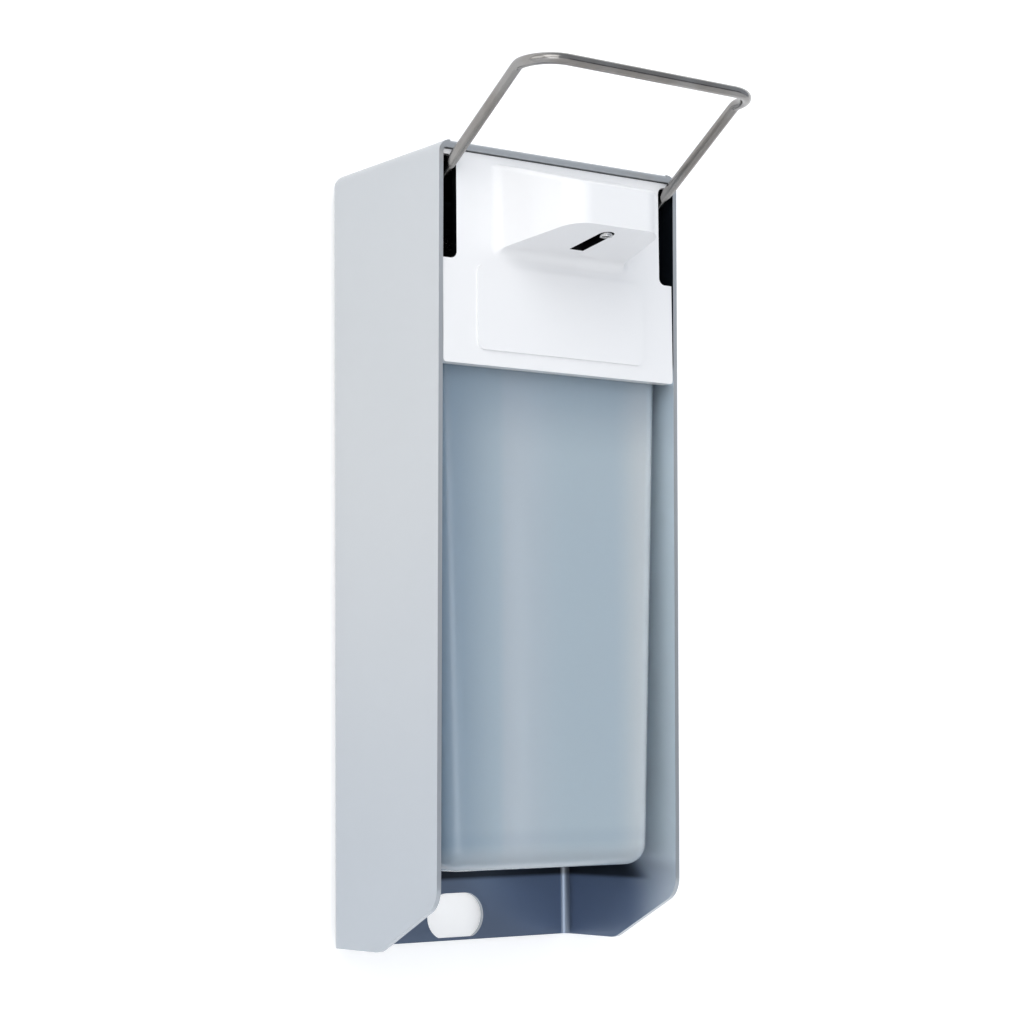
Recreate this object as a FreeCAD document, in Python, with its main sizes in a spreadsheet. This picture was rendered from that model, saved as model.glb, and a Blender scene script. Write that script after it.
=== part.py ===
import FreeCAD, Part
import math
import os
import Sketcher

# Wall soap dispenser with an arm lever, for a half litre bottle.
# X is to the right, Y points into the wall and Z is up. The origin is the middle of the four
# wall screws, on the wall, and everything is symmetric about the plane X = 0. Positive
# heights below are counted up from the housing's lower edge. The chassis, the cover, the
# lever, the pump and the bottle's shoulder hang from the housing's top edge, so their heights
# are counted from there and are negative. Each sub-part is then lowered by the height of the
# origin.
# A folded aluminium housing hangs on a wall plate. A moulded chassis inside it carries the
# lever's bearings and the fork that holds the pump and its bottle. A white cover with a
# nose closes the upper front, and a bail of bent wire presses the pump from outside.

doc = FreeCAD.newDocument("SoapDispenser")
Vector = FreeCAD.Vector
TOLERANCE = 0.02

# Driving dimensions in millimetres, angles in degrees.
SIZES = {
    # Housing of folded sheet
    "housing_width": 92.0,
    "housing_height": 245.0,
    "housing_depth_top": 63.5,
    "housing_depth_bottom": 59.5,
    "sheet": 1.5,
    "bend_radius": 4.0,
    "lip_height": 2.4,
    "lip_round": 1.2,
    "foot_rise": 15.3,
    "foot_run": 31.6,
    "foot_round": 8.0,
    "finger_hole_radius": 7.4,
    "finger_hole_spread": 7.0,
    "finger_hole_rise": 7.7,
    "finger_hole_ledge": 1.0,
    # Wall plate and the hooks that carry the housing
    "plate_thickness": 2.5,
    "plate_width": 56.0,
    "plate_bottom": 60.0,
    "plate_height": 130.0,
    "plate_corner": 6.0,
    "wall_hole_spacing_x": 36.0,
    "wall_hole_spacing_z": 104.0,
    "wall_hole_radius": 2.7,
    "wall_hole_countersink": 2.0,
    "hook_spacing": 40.0,
    "hook_lower": 95.0,
    "hook_upper": 160.0,
    "hook_width": 10.0,
    "hook_neck": 3.0,
    "hook_rise": 5.0,
    "hook_lip": 1.5,
    "hook_gap": 0.3,
    "slot_drop": 6.5,
    "slot_gap": 0.3,
    "lock_height": 68.0,
    "lock_shank_radius": 2.0,
    "lock_head_radius": 3.6,
    "lock_head_height": 2.4,
    "lock_head_round": 0.8,
    "lock_shank_start": 0.3,
    "lock_socket": 1.3,
    "hole_gap": 0.1,
    # Chassis with ears for the lever and a fork for the pump
    "chassis_wall": 2.5,
    "chassis_top": -13.0,
    "bush_clearance": 3.35,
    "ear_thickness": 4.0,
    "ear_radius": 7.5,
    "fork_outside": 30.0,
    "fork_length": 59.0,
    "fork_gap": 0.4,
    "gusset": 12.0,
    "rivet_inset": 6.5,
    "rivet_upper": -21.0,
    "rivet_lower": -47.0,
    "rivet_radius": 1.6,
    "rivet_head_radius": 3.2,
    "rivet_head_height": 1.2,
    "rivet_round": 0.85,
    # Cover with its nose
    "cover_depth": 62.4,
    "cover_wall": 2.2,
    "cover_bottom": -67.8,
    "cover_gap": 0.3,
    "cover_corner": 1.0,
    "rim_depth": 1.6,
    "rim_width": 2.0,
    "slot_width": 5.3,
    "slot_bottom": -36.0,
    "slot_top": -4.2,
    "slot_round": 2.2,
    "nose_root_half_width": 24.2,
    "nose_front_half_width": 16.5,
    "nose_reach": 30.4,
    "nose_floor": -27.2,
    "nose_root_floor": -31.7,
    "nose_root_top": -4.6,
    "nose_front_top": -14.5,
    "nose_corner": 8.0,
    "nose_root_blend": 4.0,
    "nose_top_round": 1.8,
    "nose_wall": 2.0,
    "nozzle_slot_half_width": 2.6,
    "nozzle_slot_start": 8.0,
    "label_half_width": 32.0,
    "label_bottom": -63.0,
    "label_top": -36.8,
    "label_depth": 0.6,
    "label_corner": 2.5,
    "socket_wall": 2.2,
    "socket_gap": 0.3,
    "socket_depth": 9.0,
    # Lever bail, its press bar and its bearings
    "wire_radius": 1.75,
    "arm_clearance": 1.15,
    "arm_length": 102.2,
    "knee_bend": 4.5,
    "bow_drop": 31.0,
    "bow_length": 11.4,
    "bow_bend": 10.0,
    "pivot_bend": 4.5,
    "pivot_depth": 12.0,
    "pivot_height": -39.0,
    "rest_angle": 32.2,
    "pin_overhang": 0.7,
    "bush_radius": 3.2,
    "bush_flange_radius": 4.8,
    "bush_flange": 1.0,
    "running_gap": 0.05,
    "axial_gap": 0.3,
    "ring_radius": 3.8,
    "ring_thickness": 0.9,
    "press_bar_reach": 26.0,
    "press_bar_radius": 2.5,
    "sleeve_radius": 6.0,
    "sleeve_half_width": 8.0,
    "sleeve_round": 1.2,
    # Pump, from the top down
    "pump_ahead": 24.3,
    "cap_radius": 8.2,
    "cap_thickness": 5.0,
    "cap_cover": 1.6,
    "cap_round": 1.2,
    "cap_gap": 0.3,
    "rod_radius": 3.0,
    "piston_bottom": -70.0,
    "piston_height": 6.0,
    "piston_radius": 6.3,
    "piston_floor": 2.0,
    "seal_wire": 0.7,
    "seal_height": -67.0,
    "seal_groove": 1.6,
    "neck_top": -51.5,
    "gasket_thickness": 1.0,
    "head_plate": 2.0,
    "head_cup_rise": 1.5,
    "head_cup_gap": 0.4,
    "head_cup_radius": 15.0,
    "head_skirt_bottom": -57.8,
    "head_skirt_wall": 2.2,
    "thread_gap": 0.3,
    "collar_radius": 20.0,
    "collar_height": 2.2,
    "guide_radius": 5.0,
    "guide_bottom": -56.0,
    "guide_flange_radius": 6.4,
    "guide_flange": 1.2,
    "wiper_radius": 4.3,
    "wiper_height": 1.3,
    "bore_radius": 6.5,
    "cylinder_wall": 1.0,
    "flange_radius": 12.3,
    "flange_height": 1.5,
    "jacket_bore": 10.3,
    "jacket_wall": 1.0,
    "jacket_flange": 1.2,
    "port_radius": 0.9,
    "port_offset": 9.6,
    "cross_port_radius": 1.4,
    "cross_port_rise": 13.0,
    "valve_bottom": -101.0,
    "valve_flange": 2.0,
    "valve_top": -90.5,
    "valve_gap": 0.05,
    "valve_seat_radius": 1.6,
    "valve_seat_height": -98.0,
    "valve_chamber_radius": 2.9,
    "valve_chamber_height": 6.0,
    "ball_radius": 2.2,
    "ball_gap": 0.15,
    "spigot_length": 7.0,
    "dip_tube_radius": 4.0,
    "dip_tube_wall": 1.0,
    "dip_tube_bottom": 31.0,
    "spring_radius": 5.0,
    "spring_wire": 0.5,
    "spring_turns": 6.0,
    # Outlet
    "outlet_ahead": 16.2,
    "boss_radius": 6.0,
    "boss_neck_radius": 4.8,
    "boss_shoulder": -45.5,
    "boss_top": -40.0,
    "outlet_bore": 3.6,
    "passage_radius": 1.0,
    "passage_height": -49.0,
    "outlet_seat_radius": 1.5,
    "outlet_seat_height": -47.5,
    "outlet_spring_radius": 1.8,
    "outlet_spring_wire": 0.2,
    "outlet_spring_turns": 3.0,
    "tube_radius": 2.0,
    "tube_bore": 1.3,
    "tube_collar_radius": 3.5,
    "tube_collar": 1.2,
    "tube_level": -21.5,
    "tube_rise_bend": 8.0,
    "nozzle_bend": 5.0,
    "nozzle_depth": 85.6,
    "nozzle_end": -29.0,
    "nut_radius": 6.4,
    "nut_bottom": -45.2,
    "nut_top": -37.0,
    "nut_skirt": 1.5,
    "nut_gap": 0.1,
    # Bottle
    "bottle_bottom": 24.5,
    "bottle_shoulder": -59.0,
    "bottle_side_gap": 2.5,
    "bottle_draft": 2.0,
    "bottle_rear": 7.0,
    "bottle_front": 58.0,
    "bottle_corner": 9.0,
    "bottle_foot_round": 6.0,
    "bottle_shoulder_round": 6.5,
    "bottle_wall": 1.4,
    "neck_radius": 15.0,
}

sheet = doc.addObject("Spreadsheet::Sheet", "Sizes")
for row, (alias, value) in enumerate(SIZES.items(), start=1):
    sheet.set(f"A{row}", alias)
    sheet.set(f"B{row}", str(value))
    sheet.setAlias(f"B{row}", alias)
doc.recompute()


def z(text):
    """Turn words such as {sheet} into references to the sheet's cells."""
    return text.replace("{", "Sizes.").replace("}", "")


def number(text):
    """The value of an expression on the sizes, in millimetres."""
    value = sheet.evalExpression(z(text))
    return float(getattr(value, "Value", value))


# Places that several pieces share, as expressions on the sizes
ZERO = "0 * {sheet}"
TOP = "({housing_height})"
ORIGIN_HEIGHT = "({plate_bottom} + {plate_height} / 2)"
REAR = "(-{plate_thickness})"
INNER_REAR = "(-{plate_thickness} - {sheet})"
HALF_WIDTH = "({housing_width} / 2)"
INNER_HALF = "({housing_width} / 2 - {sheet})"
ARM_X = "({housing_width} / 2 - {sheet} - {arm_clearance} - {wire_radius})"
EAR_INSIDE = ("({housing_width} / 2 - {sheet} - {arm_clearance} - 2 * {wire_radius}"
              " - {bush_clearance} - {bush_flange} - {ear_thickness})")
EAR_OUTSIDE = "(" + EAR_INSIDE + " + {ear_thickness})"
PIN_INSIDE = "(" + EAR_INSIDE + " - {axial_gap} - {ring_thickness} - {pin_overhang})"
RIVET_X = "(" + EAR_INSIDE + " - {rivet_inset})"
BOTTLE_HALF = "({housing_width} / 2 - {sheet} - {bottle_side_gap})"
PIVOT_Y = "(-{plate_thickness} - {pivot_depth})"
PIVOT_Z = "({housing_height} + {pivot_height})"
PUMP_Y = "(-{plate_thickness} - {pivot_depth} - {pump_ahead})"
OUTLET_Y = "(-{plate_thickness} - {pivot_depth} - {pump_ahead} - {outlet_ahead})"
COVER_Y = "(-{plate_thickness} - {cover_depth})"
COVER_BACK = "(-{plate_thickness} - {cover_depth} + {cover_wall})"
COVER_HALF = "({housing_width} / 2 - {sheet} - {cover_gap})"
COVER_TOP = "(-{lip_height} - {cover_gap})"
HEAD_BOTTOM = "({neck_top} + {gasket_thickness})"
HEAD_TOP = "({neck_top} + {gasket_thickness} + {head_plate})"
COLLAR_BOTTOM = "({neck_top} + {gasket_thickness} - {collar_height})"
CAP_TOP = ("({pivot_height} + {press_bar_reach} * sin({rest_angle} * 1 deg)"
           " - {sleeve_radius} - {cap_gap})")
SKIRT_INSIDE = "({neck_radius} + {thread_gap})"
SKIRT_OUTSIDE = "({neck_radius} + {thread_gap} + {head_skirt_wall})"
CYLINDER_OUTSIDE = "({bore_radius} + {cylinder_wall})"
JACKET_OUTSIDE = "({jacket_bore} + {jacket_wall})"


def bind(thing, name, text):
    """Tie a property of an object to an expression on the sizes."""
    thing.setExpression(name, z(text))


def place(item, y=ZERO, height=ZERO, tilt=None):
    """Put a sub-part at a depth and a height, and tilt it about X."""
    bind(item, "Placement.Base.y", y)
    bind(item, "Placement.Base.z", height + " - " + ORIGIN_HEIGHT)
    if tilt:
        item.Placement.Rotation = FreeCAD.Rotation(Vector(1, 0, 0), 1)
        bind(item, "Placement.Rotation.Angle", tilt)


def new_body(label, y=ZERO, height=ZERO, tilt=None):
    """A body, which may stand at a depth y, at a height and tilted about X."""
    body = doc.addObject("PartDesign::Body", label)
    body.Label = label
    body.AllowCompound = True
    place(body, y, height, tilt)
    return body


def new_sketch(body, plane, offset=None):
    """A sketch on one of the body's own origin planes, moved along the plane's normal."""
    sketch = body.newObject("Sketcher::SketchObject", body.Label + "_sketch")
    support = [item for item in body.Origin.OriginFeatures if item.Role == plane]
    sketch.AttachmentSupport = (support[0], "")
    sketch.MapMode = "FlatFace"
    if offset:
        bind(sketch, "AttachmentOffset.Base.z", offset)
    return sketch


def pin_point(sketch, geometry, corner, x_text, y_text):
    """Hold one point of a sketch at expressions for its two coordinates."""
    for kind, text in (("DistanceX", x_text), ("DistanceY", y_text)):
        constraint = Sketcher.Constraint(kind, -1, 1, geometry, corner, number(text))
        index = sketch.addConstraint(constraint)
        bind(sketch, f"Constraints[{index}]", text)


def draw_lines(sketch, corners, closed=True):
    """Draw straight lines through corners that are pairs of expressions."""
    points = [Vector(number(x_text), number(y_text), 0) for x_text, y_text in corners]
    first = sketch.GeometryCount
    count = len(points) if closed else len(points) - 1
    for index in range(count):
        line = Part.LineSegment(points[index], points[(index + 1) % len(points)])
        sketch.addGeometry(line, False)
    for index in range(count if closed else count - 1):
        after = first + (index + 1) % count
        sketch.addConstraint(Sketcher.Constraint("Coincident", first + index, 2, after, 1))
    for index, (x_text, y_text) in enumerate(corners):
        if index < count:
            pin_point(sketch, first + index, 1, x_text, y_text)
        else:
            pin_point(sketch, first + count - 1, 2, x_text, y_text)


def draw_box(sketch, left, bottom, right, top):
    """Draw a rectangle between two pairs of expressions."""
    draw_lines(sketch, [(left, bottom), (right, bottom), (right, top), (left, top)])


def draw_circle(sketch, x_text, y_text, radius):
    """Draw a circle whose centre and radius are expressions."""
    centre = Vector(number(x_text), number(y_text), 0)
    index = sketch.addGeometry(Part.Circle(centre, Vector(0, 0, 1), number(radius)), False)
    pin_point(sketch, index, 3, x_text, y_text)
    constraint = sketch.addConstraint(Sketcher.Constraint("Radius", index, number(radius)))
    bind(sketch, f"Constraints[{constraint}]", radius)


def draw_arc(sketch, centre, start, end, radius):
    """Draw an arc from start anticlockwise to end, all pairs of expressions."""
    middle = Vector(number(centre[0]), number(centre[1]), 0)
    angles = []
    for x_text, y_text in (start, end):
        angles.append(math.atan2(number(y_text) - middle.y, number(x_text) - middle.x))
    if angles[1] <= angles[0]:
        angles[1] += 2 * math.pi
    circle = Part.Circle(middle, Vector(0, 0, 1), number(radius))
    index = sketch.addGeometry(Part.ArcOfCircle(circle, angles[0], angles[1]), False)
    across = abs(number(end[0]) - number(start[0]))
    upward = abs(number(end[1]) - number(start[1]))
    kind, text = ("DistanceY", centre[1]) if across > upward else ("DistanceX", centre[0])
    constraint = Sketcher.Constraint(kind, -1, 1, index, 3, number(text))
    bind(sketch, f"Constraints[{sketch.addConstraint(constraint)}]", text)
    return index


def draw_bent_path(sketch, corners, radii):
    """Draw an open path of lines parallel to the axes with tangent arcs at its corners."""
    count = len(corners)
    ends = []
    for index in range(1, count - 1):
        before = corners[index - 1]
        here = corners[index]
        after = corners[index + 1]
        ends.append((shifted(here, before, radii[index - 1]), shifted(here, after, radii[index - 1])))
    starts = [corners[0]] + [pair[1] for pair in ends]
    stops = [pair[0] for pair in ends] + [corners[-1]]
    lines = []
    for start, stop in zip(starts, stops):
        first = sketch.GeometryCount
        draw_lines(sketch, [start, stop], closed=False)
        lines.append(first)
    for index, (arrive, leave) in enumerate(ends):
        here = corners[index + 1]
        centre = tuple(f"({arrive[axis]}) + ({leave[axis]}) - ({here[axis]})" for axis in (0, 1))
        turn = turn_of(arrive, here, leave)
        start, stop = (arrive, leave) if turn > 0 else (leave, arrive)
        arc = draw_arc(sketch, centre, start, stop, radii[index])
        entry, leaving = (1, 2) if turn > 0 else (2, 1)
        sketch.addConstraint(Sketcher.Constraint("Coincident", lines[index], 2, arc, entry))
        sketch.addConstraint(Sketcher.Constraint("Coincident", lines[index + 1], 1, arc, leaving))


def shifted(here, towards, radius):
    """The point one radius away from here, on the way towards another corner."""
    steps = []
    for axis in (0, 1):
        step = number(towards[axis]) - number(here[axis])
        sign = 0 if abs(step) < TOLERANCE else math.copysign(1, step)
        steps.append(f"({here[axis]}) + ({radius}) * {sign}" if sign else here[axis])
    return tuple(steps)


def turn_of(before, here, after):
    """Positive where a path through three points turns left."""
    ahead = [number(here[axis]) - number(before[axis]) for axis in (0, 1)]
    onward = [number(after[axis]) - number(here[axis]) for axis in (0, 1)]
    return ahead[0] * onward[1] - ahead[1] * onward[0]


def feature(body, kind, sketch, length=None, middle=False, backward=False):
    """Add a pad, pocket or revolution made from one sketch."""
    item = body.newObject("PartDesign::" + kind, body.Label + "_" + kind.lower())
    item.Profile = sketch
    if kind == "Revolution":
        item.ReferenceAxis = (sketch, ["V_Axis"])
        item.Angle = 360
    else:
        item.Midplane = middle
        item.Reversed = backward
        bind(item, "Length", length)
    sketch.Visibility = False
    doc.recompute()
    return item


def cut(body, sketch, length=None, middle=False):
    """Pocket a body along its sketch's normal and stop if that takes nothing away."""
    before = body.Shape.Volume
    item = feature(body, "Pocket", sketch, length, middle, backward=not middle)
    if body.Shape.Volume > before - TOLERANCE:
        raise ValueError(body.Label + ": a pocket cuts nothing")
    return item


def turned(label, profile, y=PUMP_Y):
    """A body turned about an upright axis from a profile of radius and height pairs."""
    body = new_body(label, y, TOP)
    sketch = new_sketch(body, "XZ_Plane")
    draw_lines(sketch, profile)
    feature(body, "Revolution", sketch)
    return body


def pick_edges(body, along=None, x=None, y=None, height=None, test=None):
    """Names of the edges that run along an axis and whose middle is at the given places."""
    names = []
    for index, edge in enumerate(body.Tip.Shape.Edges, start=1):
        box = edge.BoundBox
        spans = {"X": box.XLength, "Y": box.YLength, "Z": box.ZLength}
        if along and spans[along] < TOLERANCE:
            continue
        if along and any(spans[axis] > TOLERANCE for axis in spans if axis != along):
            continue
        middle = box.Center
        if x is not None and abs(abs(middle.x) - number(x)) > TOLERANCE:
            continue
        if y is not None and abs(middle.y - number(y)) > TOLERANCE:
            continue
        if height is not None and abs(middle.z - number(height)) > TOLERANCE:
            continue
        if test is not None and not test(edge):
            continue
        names.append(f"Edge{index}")
    if not names:
        raise ValueError(body.Label + ": no edge found to dress")
    return names


def dress(body, kind, names, size):
    """Fillet or chamfer the named edges of the body's last feature."""
    item = body.newObject("PartDesign::" + kind, body.Label + "_" + kind.lower())
    item.Base = (body.Tip, names) if body.Tip != item else (item.BaseFeature, names)
    bind(item, "Radius" if kind == "Fillet" else "Size", size)
    doc.recompute()
    if "Up-to-date" not in item.State:
        raise ValueError(body.Label + ": dressing failed")
    return item


def make_housing():
    """The folded housing: back, sides and top in one sheet, open to the front and below."""
    body = new_body("housing")
    front_top = "(-{plate_thickness} - {housing_depth_top})"
    front_bottom = "(-{plate_thickness} - {housing_depth_bottom})"
    foot_front = ("(-{plate_thickness} - {housing_depth_bottom}"
                  " - ({housing_depth_top} - {housing_depth_bottom}) * {foot_rise} / {housing_height})")
    foot_back = "(-{plate_thickness} - {housing_depth_bottom} + {foot_run})"
    outline = new_sketch(body, "YZ_Plane")
    draw_lines(outline, [(REAR, ZERO), (REAR, "{housing_height}"),
                         (front_top, "{housing_height}"), (foot_front, "{foot_rise}"),
                         (foot_back, ZERO)])
    feature(body, "Pad", outline, "{housing_width}", middle=True)

    inside = new_sketch(body, "YZ_Plane")
    beyond = "(" + front_bottom + " - {housing_depth_top})"
    inner_top = "({housing_height} - {sheet})"
    draw_box(inside, beyond, "-{sheet}", INNER_REAR, inner_top)
    cut(body, inside, "{housing_width} - 2 * {sheet}", middle=True)
    inner_bends = pick_edges(body, along="Z", x=INNER_HALF, y=INNER_REAR)
    inner_bends += pick_edges(body, along="Y", x=INNER_HALF, height=inner_top)
    inner_bends += pick_edges(body, along="X", y=INNER_REAR, height=inner_top)
    dress(body, "Fillet", inner_bends, "{bend_radius} - {sheet}")
    bends = pick_edges(body, along="Z", x=HALF_WIDTH, y=REAR)
    bends += pick_edges(body, along="Y", x=HALF_WIDTH, height="{housing_height}")
    bends += pick_edges(body, along="X", y=REAR, height="{housing_height}")
    dress(body, "Fillet", bends, "{bend_radius}")
    foot_corners = pick_edges(body, along="X", height="{foot_rise}")
    foot_corners += pick_edges(body, along="X", y=foot_back, height=ZERO)
    dress(body, "Fillet", foot_corners, "{foot_round}")

    lip = new_sketch(body, "XZ_Plane", "-" + front_top + " - {sheet}")
    draw_box(lip, "-" + INNER_HALF, "{housing_height} - {lip_height}", INNER_HALF, inner_top)
    feature(body, "Pad", lip, "{sheet}")

    fold = new_sketch(body, "YZ_Plane")
    behind_fold = "(" + front_top + " + {lip_round})"
    before_fold = "(" + front_top + " - {lip_round})"
    above_fold = "({housing_height} + {lip_round})"
    below_fold = "({housing_height} - {lip_round})"
    draw_lines(fold, [(behind_fold, "{housing_height}"), (behind_fold, above_fold),
                      (before_fold, above_fold), (before_fold, below_fold),
                      (front_top, below_fold)], closed=False)
    arc = draw_arc(fold, (behind_fold, below_fold), (behind_fold, "{housing_height}"),
                   (front_top, below_fold), "{lip_round}")
    fold.addConstraint(Sketcher.Constraint("Coincident", 0, 1, arc, 1))
    fold.addConstraint(Sketcher.Constraint("Coincident", 3, 2, arc, 2))
    cut(body, fold, "{housing_width} - 2 * {bend_radius}", middle=True)

    slots = new_sketch(body, "XZ_Plane", "{plate_thickness} - {sheet}")
    for side in ("-", ""):
        for level in ("{hook_lower}", "{hook_upper}"):
            centre = f"{side}{{hook_spacing}} / 2"
            half = "({hook_width} / 2 + {slot_gap})"
            draw_box(slots, f"{centre} - {half}", f"{level} - {{hook_neck}} - {{slot_drop}}",
                     f"{centre} + {half}", level)
    cut(body, slots, "3 * {sheet}")

    holes = new_sketch(body, "XZ_Plane", "{plate_thickness} - {sheet}")
    for side in ("-", ""):
        for level in ("{rivet_lower}", "{rivet_upper}"):
            draw_circle(holes, side + RIVET_X, TOP + " + " + level, "{rivet_radius} + {hole_gap}")
    draw_circle(holes, ZERO, "{lock_height}", "{lock_shank_radius} + {hole_gap}")
    cut(body, holes, "3 * {sheet}")

    finger = new_sketch(body, "XZ_Plane", "{plate_thickness} - {sheet}")
    drop = "({finger_hole_rise} - {finger_hole_ledge})"
    chord = f"sqrt({{finger_hole_radius}} * {{finger_hole_radius}} - {drop} * {drop})"
    shift = "{finger_hole_spread} / 2"
    crown = "({finger_hole_rise} + {finger_hole_radius})"
    draw_lines(finger, [(f"-({shift} + {chord})", "{finger_hole_ledge}"),
                        (f"({shift} + {chord})", "{finger_hole_ledge}")], closed=False)
    draw_lines(finger, [(shift, crown), ("-" + shift, crown)], closed=False)
    right = draw_arc(finger, (shift, "{finger_hole_rise}"),
                     (f"({shift} + {chord})", "{finger_hole_ledge}"), (shift, crown),
                     "{finger_hole_radius}")
    left = draw_arc(finger, ("-" + shift, "{finger_hole_rise}"), ("-" + shift, crown),
                    (f"-({shift} + {chord})", "{finger_hole_ledge}"), "{finger_hole_radius}")
    for line, before, after in ((0, left, right), (1, right, left)):
        finger.addConstraint(Sketcher.Constraint("Coincident", line, 1, before, 2))
        finger.addConstraint(Sketcher.Constraint("Coincident", line, 2, after, 1))
    cut(body, finger, "3 * {sheet}")
    return body


def make_wall_plate():
    """The plate that is screwed to the wall, with four hooks for the housing."""
    body = new_body("wall_plate")
    face = new_sketch(body, "XZ_Plane")
    draw_box(face, "-{plate_width} / 2", "{plate_bottom}", "{plate_width} / 2",
             "{plate_bottom} + {plate_height}")
    feature(body, "Pad", face, "{plate_thickness}")
    dress(body, "Fillet", pick_edges(body, along="Y"), "{plate_corner}")

    middle = "({plate_bottom} + {plate_height} / 2)"
    holes = new_sketch(body, "XZ_Plane")
    for side in ("-", ""):
        for level in ("-", "+"):
            draw_circle(holes, f"{side}{{wall_hole_spacing_x}} / 2",
                        f"{middle} {level} {{wall_hole_spacing_z}} / 2", "{wall_hole_radius}")
    draw_circle(holes, ZERO, "{lock_height}", "{lock_shank_radius}")
    cut(body, holes, "{plate_thickness}")

    def wall_hole_rim(edge):
        """A hole's front edge that belongs to a wall screw."""
        return (abs(edge.BoundBox.Center.y - number(REAR)) < TOLERANCE
                and abs(edge.BoundBox.XLength - 2 * number("{wall_hole_radius}")) < TOLERANCE)

    dress(body, "Chamfer", pick_edges(body, test=wall_hole_rim), "{wall_hole_countersink}")

    half = "{hook_width} / 2"
    neck_reach = "{sheet} + {hook_gap}"
    necks = new_sketch(body, "XZ_Plane", "{plate_thickness}")
    lips = new_sketch(body, "XZ_Plane", "{plate_thickness} + " + neck_reach)
    for side in ("-", ""):
        for level in ("{hook_lower}", "{hook_upper}"):
            centre = f"{side}{{hook_spacing}} / 2"
            draw_box(necks, f"{centre} - {half}", f"{level} - {{hook_neck}}",
                     f"{centre} + {half}", level)
            draw_box(lips, f"{centre} - {half}", f"{level} - {{hook_neck}}",
                     f"{centre} + {half}", f"{level} + {{hook_rise}}")
    feature(body, "Pad", necks, neck_reach)
    feature(body, "Pad", lips, "{hook_lip}")
    return body


def make_lock_screw():
    """The screw that locks the housing to the wall plate from inside."""
    body = new_body("lock_screw", height="{lock_height}")
    shank = new_sketch(body, "XZ_Plane", "{lock_shank_start}")
    draw_circle(shank, ZERO, ZERO, "{lock_shank_radius}")
    feature(body, "Pad", shank, "{plate_thickness} + {sheet} - {lock_shank_start}")
    head = new_sketch(body, "XZ_Plane", "{plate_thickness} + {sheet}")
    draw_circle(head, ZERO, ZERO, "{lock_head_radius}")
    feature(body, "Pad", head, "{lock_head_height}")
    front = "(-{plate_thickness} - {sheet} - {lock_head_height})"
    rim = pick_edges(body, y=front)
    dress(body, "Fillet", rim, "{lock_head_round}")
    socket = new_sketch(body, "XZ_Plane", "{plate_thickness} + {sheet} + {lock_head_round}")
    corners = []
    for step in range(6):
        angle = math.radians(60 * step)
        corners.append((f"{{lock_socket}} * {math.cos(angle):.6f}",
                        f"{{lock_socket}} * {math.sin(angle):.6f}"))
    draw_lines(socket, corners)
    cut(body, socket, "{lock_head_height}")
    return body


def make_chassis():
    """The moulded chassis: back, two ears for the lever and the fork for the pump."""
    body = new_body("chassis", height=TOP)
    shelf_bottom = "(" + COLLAR_BOTTOM + " - {chassis_wall})"
    back = new_sketch(body, "XZ_Plane", "{plate_thickness} + {sheet}")
    draw_box(back, "-" + EAR_OUTSIDE, shelf_bottom, EAR_OUTSIDE, "{chassis_top}")
    feature(body, "Pad", back, "{chassis_wall}")
    dress(body, "Fillet", pick_edges(body, along="Y", height="{chassis_top}"), "{ear_radius}")

    shelf = new_sketch(body, "XY_Plane", shelf_bottom)
    front = "(-{plate_thickness} - {fork_length})"
    inside = "(" + SKIRT_OUTSIDE + " + {fork_gap})"
    near = "(" + INNER_REAR + " - {chassis_wall} / 2)"
    left = ("-" + inside, PUMP_Y)
    right = (inside, PUMP_Y)
    corners = [left, ("-" + inside, front), ("-{fork_outside}", front), ("-{fork_outside}", near),
               ("{fork_outside}", near), ("{fork_outside}", front), (inside, front), right]
    first = shelf.GeometryCount
    draw_lines(shelf, corners, closed=False)
    arc = draw_arc(shelf, (ZERO, PUMP_Y), right, left, inside)
    shelf.addConstraint(Sketcher.Constraint("Coincident", first, 1, arc, 2))
    shelf.addConstraint(Sketcher.Constraint("Coincident", arc - 1, 2, arc, 1))
    feature(body, "Pad", shelf, "{chassis_wall}")
    dress(body, "Fillet", pick_edges(body, along="Z", y=front), "{chassis_wall} / 2")

    for side in ("-", ""):
        ear = new_sketch(body, "YZ_Plane", f"{side}({EAR_INSIDE} + {{ear_thickness}} / 2)")
        ear_front = "(" + PIVOT_Y + " - {ear_radius})"
        top = "{pivot_height}"
        head = ("(" + PIVOT_Y + " + {ear_radius})", top)
        draw_lines(ear, [head, (near, top), (near, shelf_bottom), (ear_front, shelf_bottom),
                         (ear_front, top)], closed=False)
        arc = draw_arc(ear, (PIVOT_Y, top), (head[0], top), (ear_front, top), "{ear_radius}")
        ear.addConstraint(Sketcher.Constraint("Coincident", 0, 1, arc, 1))
        ear.addConstraint(Sketcher.Constraint("Coincident", arc - 1, 2, arc, 2))
        feature(body, "Pad", ear, "{ear_thickness}", middle=True)

    gusset = new_sketch(body, "YZ_Plane")
    root = "(" + INNER_REAR + " - {chassis_wall})"
    draw_lines(gusset, [(near, COLLAR_BOTTOM), (near, COLLAR_BOTTOM + " + {gusset}"),
                        (root, COLLAR_BOTTOM + " + {gusset}"),
                        (root + " - {gusset} / 2", COLLAR_BOTTOM)])
    feature(body, "Pad", gusset, "{chassis_wall}", middle=True)

    pivots = new_sketch(body, "YZ_Plane")
    draw_circle(pivots, PIVOT_Y, "{pivot_height}", "{bush_radius} + {running_gap}")
    cut(body, pivots, "2 * " + EAR_OUTSIDE + " + {chassis_wall}", middle=True)
    holes = new_sketch(body, "XZ_Plane", "{plate_thickness}")
    for side in ("-", ""):
        for level in ("{rivet_lower}", "{rivet_upper}"):
            draw_circle(holes, side + RIVET_X, level, "{rivet_radius} + {hole_gap}")
    cut(body, holes, "{sheet} + 2 * {chassis_wall}")
    return body


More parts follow.
